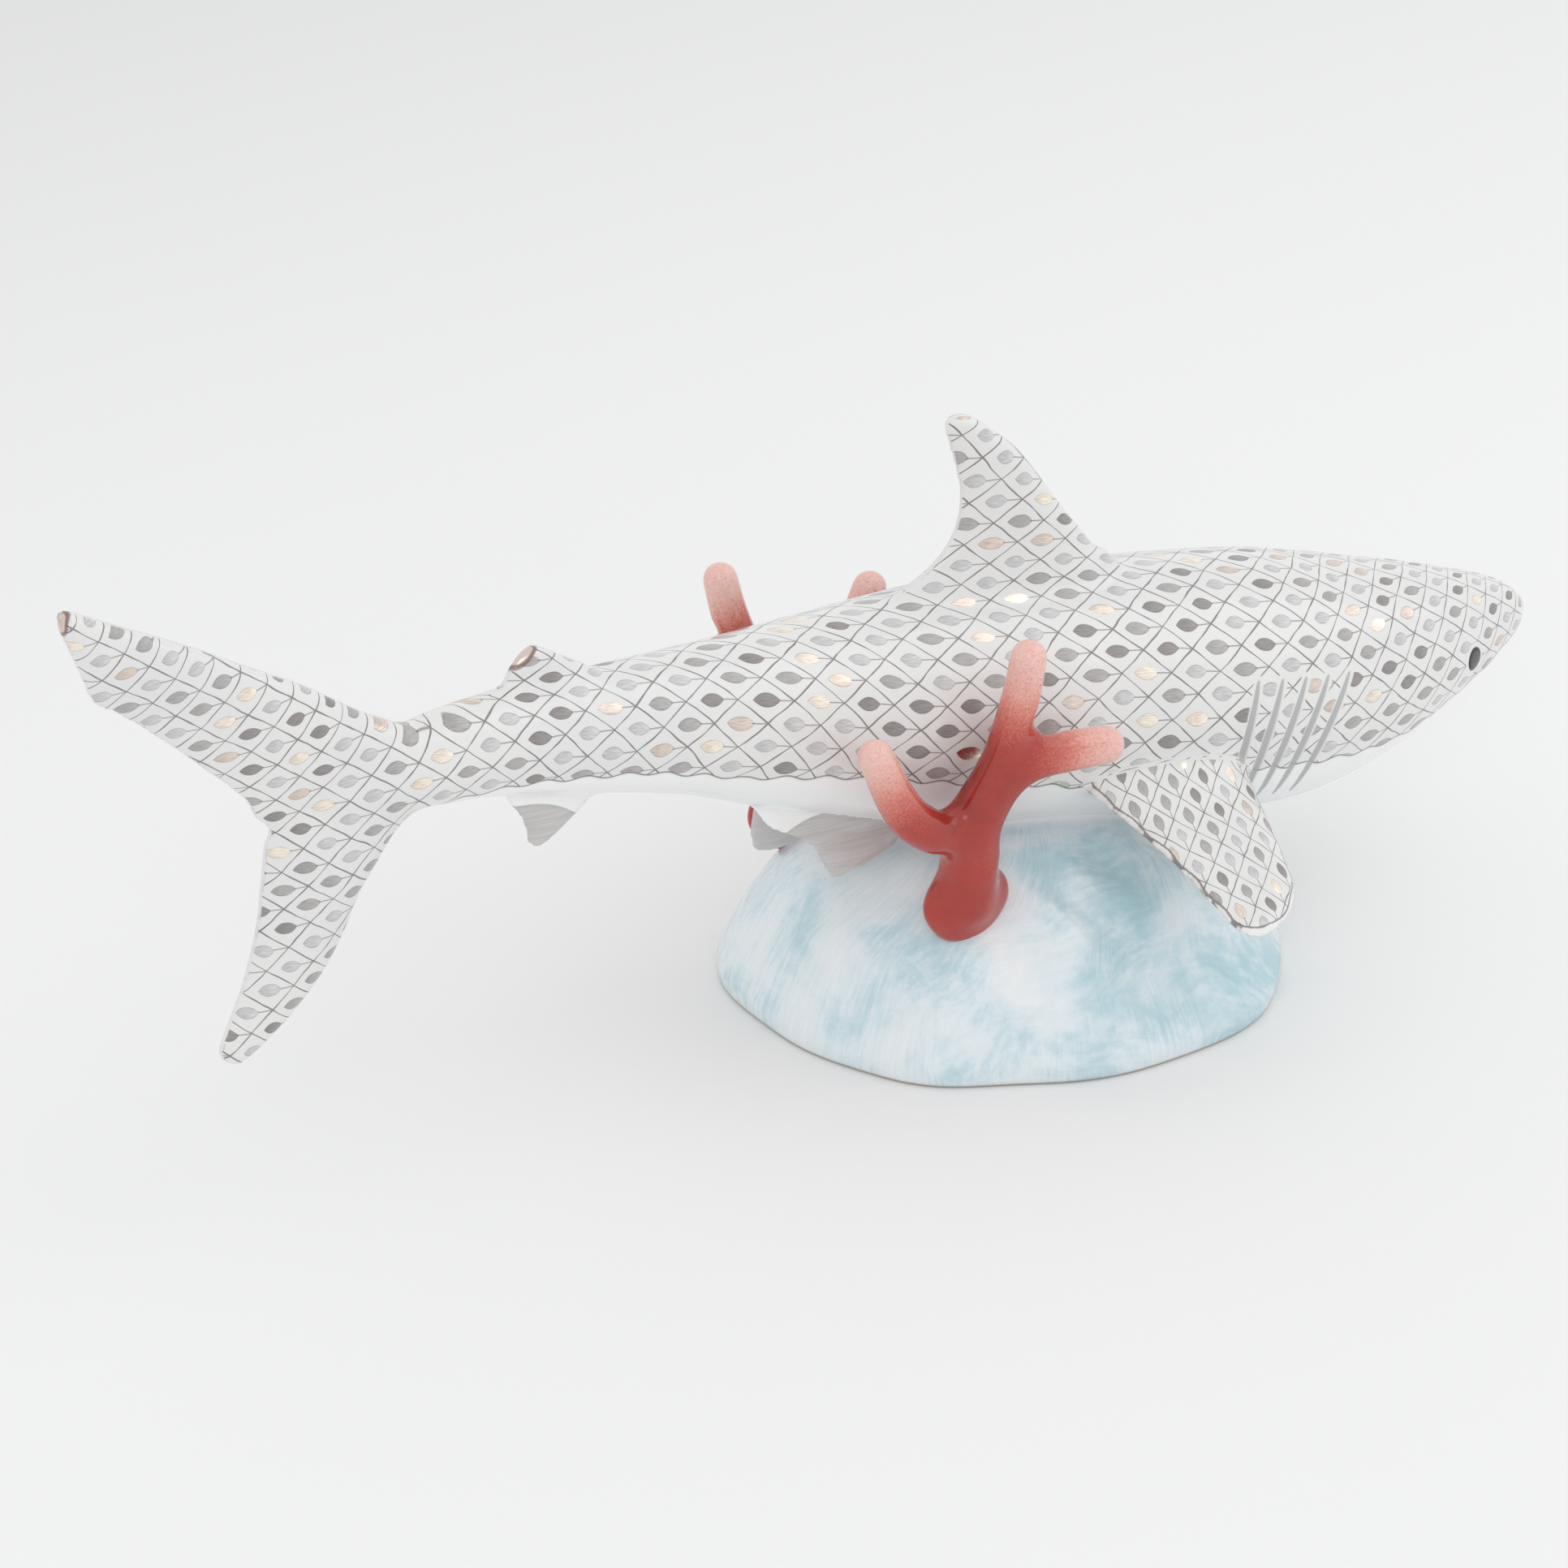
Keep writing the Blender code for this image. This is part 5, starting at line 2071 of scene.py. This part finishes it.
    def ring(self, run: Array, level: Array | float) -> Array:
        """Return a ring at a run out from the apex and a level."""
        place = np.array(self.apex) + run
        return np.column_stack((place, np.broadcast_to(level, (len(place),))))

    def hollow(self, reach: Array, length: Array, crown: float) -> list[Array]:
        """Return the rings of the hollow's roof and of the rim's rounded lower edge.

        Args:
            reach: Runs from the apex to the edge.
            length: Their lengths.
            crown: Height of the hollow's roof.

        Returns:
            The rings.
        """
        inner = reach * (1.0 - (self.rim_inset + self.wall) / length)[:, None]
        rings = []
        for share in np.linspace(0.0, 1.0, self.hollow_rings + 1)[1:]:
            rings.append(self.ring(inner * share, crown * (1.0 - share ** self.roundness)))
        for angle in np.linspace(0.0, math.pi / 2, self.rim_rings):
            inset = self.rim_inset * (1.0 - math.sin(angle))
            rings.append(self.ring(reach * (1.0 - inset / length)[:, None],
                                   self.rim_height * self.rim_rounding * (1.0 - math.cos(angle))))
        return rings

    def dome(self, reach: Array, low: Array) -> list[Array]:
        """Return the rings of the dome, from its edge to where the sweep up starts.

        Args:
            reach: Runs from the apex to the edge.
            low: Share of each run where the sweep starts.

        Returns:
            The rings.
        """
        rings = []
        for step in np.linspace(0.0, 1.0, self.rings):
            share = 1.0 + (low - 1.0) * step
            run = reach * share[:, None]
            x, y = (np.array(self.apex) + run).T
            shown = smooth_share(step, 0.03, 0.22) * smooth_share(1.0 - step, 0.0, 0.25)
            rings.append(self.ring(run, self.height(share, x, y) + self.ripples(x, y) * shown))
        return rings

    def even(self, values: Array, rounds: int = 12) -> Array:
        """Return values round the outline, smoothed along it.

        Args:
            values: Values round the outline.
            rounds: Rounds of smoothing.

        Returns:
            The smoothed values.
        """
        for _ in range(rounds):
            values = (np.roll(values, 1) + 2 * values + np.roll(values, -1)) / 4
        return values

    def build(self, kiln: Kiln, finish: WaveGlaze) -> bpy.types.Object:
        """Model and paint the foot.

        Args:
            kiln: Makes the piece.
            finish: The foot's glaze.

        Returns:
            The piece.
        """
        skin = self.skin()
        points = skin.points
        tint = np.zeros(len(points))
        for centre_x, centre_y, depth, width in self.tints:
            gap = (points[:, 0] - centre_x) ** 2 + (points[:, 1] - centre_y) ** 2
            tint += depth * np.exp(-gap / (2 * width ** 2))
        tint += self.rim_tint * smooth_share(-points[:, 2], -14.0, -3.0)
        belly = self.spine.belly_height(points[:, 0], points[:, 1])
        below = smooth_share(belly - points[:, 2], 1.0, 2.2)
        under = points[:, 2] < self.rim_height
        painted = {
            "tint": tint,
            "bare": np.where(belly < FAR, below, 1.0),
            "flow": self.flow(points),
            "clay": np.where(under, smooth_share(-points[:, 2], -0.75, -0.25), 0.0),
        }
        return kiln.piece("wave_base", skin, finish.material(), painted)


@dataclass
class CoralBranch:
    """One coral: a pad on the foot, a stem that leans forward and two side fingers."""

    side: Side
    foot: WaveFoot
    roots: tuple[Row, Row] = ((-34.6, 26.0), (-26.6, -26.2))
    lean: float = 3.4
    grain: float = 0.5
    settle_rounds: int = 12
    web_start: float = 0.5
    web: float = 6.0
    web_rounds: int = 140
    sides: int = 40
    pad_half_sizes: Row = (10.2, 5.0, 9.2)
    pad_lift: float = 5.4
    pad_ahead: float = 0.7
    # Rows of each branch: forward, outward and up from the root, and radius
    branches: tuple[tuple[Row, ...], ...] = (
        (
            (0.3, 0.4, 3.0, 6.0), (0.3, 1.2, 7.5, 6.2), (-0.2, 2.4, 16.0, 6.0),
            (-0.7, 3.6, 23.0, 6.0), (0.8, 4.6, 29.5, 5.2), (5.2, 5.4, 39.3, 4.1),
            (8.6, 5.5, 50.0, 3.8), (10.3, 5.5, 58.9, 3.6),
        ),
        (
            (-0.7, 3.5, 23.0, 5.0), (-8.2, 4.2, 24.9, 4.6), (-14.8, 4.8, 29.8, 4.4),
            (-19.4, 5.4, 36.8, 4.0), (-22.2, 5.5, 43.2, 3.7), (-23.7, 5.5, 46.4, 3.6),
        ),
        (
            (1.2, 4.4, 26.0, 5.0), (5.0, 5.0, 32.6, 4.7), (11.0, 5.8, 36.3, 4.3),
            (19.0, 6.7, 36.6, 4.1), (27.4, 7.5, 36.2, 3.9),
        ),
    )
    fade_start: float = -4.0
    fade_length: float = 27.0
    # Webs in the crotches: forward, outward, up and radius
    webs: tuple[Row, ...] = ((11.4, 5.5, 41.6, 2.7),)
    # Places painted darker in the crotches and at the stem's foot, as painted shade: forward,
    # outward, up and width
    crotch_shade_spots: tuple[Row, ...] = (
        (1.5, 3.0, 30.0, 6.0), (-7.0, 3.5, 27.5, 5.0), (0.0, 1.0, 9.0, 5.0),
        (5.0, 4.0, 37.0, 4.0),
    )
    crotch_shade_strength: float = 0.6

    def placed(self, row: Row) -> Array:
        """Return a point given forward, outward and up from the root.

        Args:
            row: Forward, outward and up, in millimetres.

        Returns:
            The point.
        """
        root = self.roots[0] if self.side is Side.LEFT else self.roots[1]
        matrix = Matrix.Translation((root[0], root[1], self.foot.surface(*root)))
        if self.side is Side.LEFT:
            matrix = matrix @ Matrix.Rotation(math.radians(-self.lean), 4, "Y")
            matrix = matrix @ Matrix.Rotation(math.pi, 4, "Z")
        return np.array(matrix @ Vector((row[0], -row[1], row[2])))

    def tube(self, rows: tuple[Row, ...]) -> Skin:
        """Return one branch as a tube with round ends.

        Args:
            rows: The branch's places and radii.

        Returns:
            The surface.
        """
        course = [(*self.placed(row[:3]), row[3]) for row in rows]
        dense = spline(course, 8)
        centres, radii = dense[:, :3], dense[:, 3]
        headings = unit(np.gradient(centres, axis=0))
        side = unit(np.cross(headings[0], (0.0, 1.0, 0.0)))
        rings = []
        for centre, radius, heading in zip(centres, radii, headings):
            side = unit(side - heading * (side @ heading))
            up = np.cross(heading, side)
            rings.append(oval(centre, side * radius, up * radius, self.sides))
        for angle in np.linspace(0.0, math.pi / 2, 9)[1:-1]:
            centre = centres[-1] + headings[-1] * radii[-1] * math.sin(angle)
            width = radii[-1] * math.cos(angle)
            rings.append(oval(centre, side * width, up * width, self.sides))
        return loft(np.array(rings), end_pole=centres[-1] + headings[-1] * radii[-1])

    def lump(self, place: Row, half_sizes: Row) -> Skin:
        """Return a rounded lump at a place given from the root.

        Args:
            place: Forward, outward and up from the root.
            half_sizes: Half sizes along X, Y and Z.

        Returns:
            The surface.
        """
        centre = self.placed(place)
        wide, deep, tall = half_sizes
        rings = []
        for angle in np.linspace(-math.pi / 2, math.pi / 2, 25)[1:-1]:
            middle = centre + UP * tall * math.sin(angle)
            rings.append(oval(middle, np.array((wide, 0.0, 0.0)) * math.cos(angle),
                              np.array((0.0, deep, 0.0)) * math.cos(angle), self.sides))
        return loft(np.array(rings), centre - UP * tall, centre + UP * tall)

    def skins(self) -> list[Skin]:
        """Return the coral's overlapping parts: the pad, the branches and the webs.

        Returns:
            The surfaces.
        """
        pad = self.lump((self.pad_ahead, 0.0, self.pad_lift), self.pad_half_sizes)
        webs = [self.lump(row[:3], row[3:] * 3) for row in self.webs]
        return [pad, *(self.tube(rows) for rows in self.branches), *webs]

    def build(self, kiln: Kiln, finish: CoralGlaze) -> bpy.types.Object:
        """Model and glaze the coral.

        Args:
            kiln: Makes the piece.
            finish: The coral's glaze.

        Returns:
            The piece.
        """
        parts = self.skins()
        skin = fused(parts, self.grain)
        relaxer = Relaxer(skin)
        points = relaxer.relax(skin.points, self.settle_rounds, 0.5)
        reach = np.sort(nearest_parts(parts, points, self.web + 3.0)[0], axis=1)
        loose = 1.0 - smooth_share(reach[:, 1] - reach[:, 0], self.web_start, self.web)
        points = relaxer.relax(points, self.web_rounds, 0.5, loose)
        skin.points = points
        fade = np.full(len(points), FAR)
        for rows in self.branches:
            tip = self.placed(rows[-1][:3])
            fade = np.minimum(fade, np.linalg.norm(points - tip, axis=1))
        # painted shade in the crotches and at the stem's foot
        pool = np.zeros(len(points))
        for *place, width in self.crotch_shade_spots:
            gap = np.linalg.norm(points - self.placed(tuple(place)), axis=1)
            pool += np.exp(-gap ** 2 / (2 * width ** 2))
        painted = {
            "fade": smooth_share(fade, self.fade_start, self.fade_start + self.fade_length),
            "pool": np.clip(pool, 0.0, 1.0) * self.crotch_shade_strength,
        }
        name = f"coral_{self.side.name.lower()}"
        return kiln.piece(name, skin, finish.material(), painted)


@dataclass(frozen=True)
class Lamp:
    """A square soft lamp: its name, its place and edge in metres and its power in watts."""

    name: str
    place: Row
    size: float
    power: float


@dataclass
class Studio:
    """A pale floor under soft light, and the camera that takes the portrait."""

    azimuth: float = -30.0
    elevation: float = 29.0
    distance: float = 950.0
    half_view: float = 162.3
    aim_left: float = 45.0
    aim_up: float = 35.6
    floor_half_size: float = 6000.0
    floor_colour: Colour = (0.90, 0.905, 0.905)
    # Painted shade: the floor darkens towards this colour further back
    far_shade_colour: Colour = (0.68, 0.682, 0.685)
    far_start: float = 0.0
    far_end: float = 1.2
    sky_colour: Colour = (0.90, 0.90, 0.90)
    horizon_colour: Colour = (0.97, 0.97, 0.975)
    world_strength: float = 1.0
    lamps: tuple[Lamp, ...] = (
        Lamp("key", (1.3, -0.5, 1.5), 1.6, 4.4), Lamp("fill", (-0.9, -1.3, 1.2), 0.6, 1.6),
    )
    lamp_aim: Row = (0.0, 0.0, 0.05)

    def camera(self, kiln: Kiln) -> None:
        """Add the camera, looking from the shark's right side and a little above.

        Args:
            kiln: Makes the pieces.
        """
        turn = math.radians(-self.azimuth)
        tilt = math.radians(self.elevation)
        forward = np.array((math.sin(turn) * math.cos(tilt), math.cos(turn) * math.cos(tilt),
                            -math.sin(tilt)))
        right = np.array((math.cos(turn), -math.sin(turn), 0.0))
        up = np.cross(right, forward)
        aim = up * self.aim_up - right * self.aim_left
        place = kiln.to_frame(aim - forward * self.distance)
        data = bpy.data.cameras.new("portrait")
        data.sensor_width = 36.0
        data.lens = data.sensor_width / 2 * self.distance / self.half_view
        data.clip_end = 50.0
        camera = bpy.data.objects.new("portrait", data)
        turned = Matrix(np.column_stack((right, up, -forward)).tolist()).to_4x4()
        camera.matrix_world = Matrix.Translation(place) @ turned
        bpy.context.scene.collection.objects.link(camera)
        bpy.context.scene.camera = camera

    def floor(self) -> None:
        """Add the floor that the figurine stands on, painted darker further back as painted shade.
        """
        half = self.floor_half_size * MM
        mesh = bpy.data.meshes.new("floor")
        mesh.from_pydata([(-half, -half, 0.0), (half, -half, 0.0), (half, half, 0.0),
                          (-half, half, 0.0)], [], [(0, 1, 2, 3)])
        pad = Sketch("pale_floor")
        parts = pad.node("ShaderNodeSeparateXYZ")
        pad.feed(parts.inputs[0], pad.place())
        # painted shade: the floor darker further back
        shade_share = pad.step(parts.outputs[1], self.far_start, self.far_end)
        colour = pad.mix(shade_share, self.floor_colour, self.far_shade_colour)
        shade = pad.noise(pad.place(), 3.0, 2.0)
        colour = pad.mix(pad.times(shade, 0.05), colour, self.far_shade_colour)
        pad.feed(pad.shader.inputs["Base Color"], colour)
        pad.constants({"Roughness": 0.9, "Specular IOR Level": 0.1})
        mesh.materials.append(pad.material)
        item = bpy.data.objects.new("floor", mesh)
        bpy.context.scene.collection.objects.link(item)

    def hang(self, lamp: Lamp) -> None:
        """Add a lamp that looks at the figurine and isn't seen itself.

        Args:
            lamp: The lamp.
        """
        data = bpy.data.lights.new(lamp.name, "AREA")
        data.size = lamp.size
        data.energy = lamp.power
        item = bpy.data.objects.new(lamp.name, data)
        item.location = lamp.place
        item.visible_camera = False
        aim = Vector(self.lamp_aim) - Vector(lamp.place)
        item.rotation_euler = aim.to_track_quat("-Z", "Y").to_euler()
        bpy.context.scene.collection.objects.link(item)

    def world(self) -> None:
        """Light the surroundings from a pale sky that brightens towards the horizon."""
        world = bpy.data.worlds.new("studio")
        world.use_nodes = True
        tree = world.node_tree
        background = tree.nodes["Background"]
        background.inputs["Strength"].default_value = self.world_strength
        direction = tree.nodes.new("ShaderNodeTexCoord").outputs["Generated"]
        parts = tree.nodes.new("ShaderNodeSeparateXYZ")
        tree.links.new(direction, parts.inputs[0])
        sky = tree.nodes.new("ShaderNodeValToRGB")
        sky.color_ramp.interpolation = "EASE"
        sky.color_ramp.elements[0].color = (*self.horizon_colour, 1.0)
        sky.color_ramp.elements[1].position = 0.75
        sky.color_ramp.elements[1].color = (*self.sky_colour, 1.0)
        tree.links.new(parts.outputs[2], sky.inputs[0])
        tree.links.new(sky.outputs[0], background.inputs["Color"])
        bpy.context.scene.world = world

    def build(self, kiln: Kiln) -> None:
        """Set up the studio.

        Args:
            kiln: Makes the pieces.
        """
        self.camera(kiln)
        self.floor()
        for lamp in self.lamps:
            self.hang(lamp)
        self.world()
        bpy.context.scene.view_settings.view_transform = "Standard"
        log.info("studio ready")


def frame_shift(skins: Sequence[Skin]) -> Array:
    """Return the shift from the foot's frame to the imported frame, in millimetres.

    Args:
        skins: Every surface of the figurine.

    Returns:
        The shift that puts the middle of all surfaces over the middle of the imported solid.
    """
    low = np.min([skin.low() for skin in skins], axis=0)
    high = np.max([skin.high() for skin in skins], axis=0)
    packed = np.array(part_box(NODE)) / MM
    shift = packed.mean(axis=0) - (low + high) / 2
    shift[2] = 0.0
    return shift


def main() -> None:
    """Build every piece in order."""
    logging.basicConfig(level=logging.INFO, format="%(name)s %(message)s")
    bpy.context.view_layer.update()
    shark = SharkForm()
    foot = WaveFoot(shark.spine)
    corals = [CoralBranch(side, foot) for side in Side]
    skins = [*shark.skins().values(), foot.skin()]
    for coral in corals:
        skins.extend(coral.skins())
    kiln = Kiln(frame_shift(skins))
    log.info("shift %s", np.round(kiln.shift, 3).tolist())
    Studio().build(kiln)
    shark.build(kiln, PaintedShark())
    foot.build(kiln, WaveGlaze())
    for coral in corals:
        coral.build(kiln, CoralGlaze())


if __name__ == "__main__":
    main()
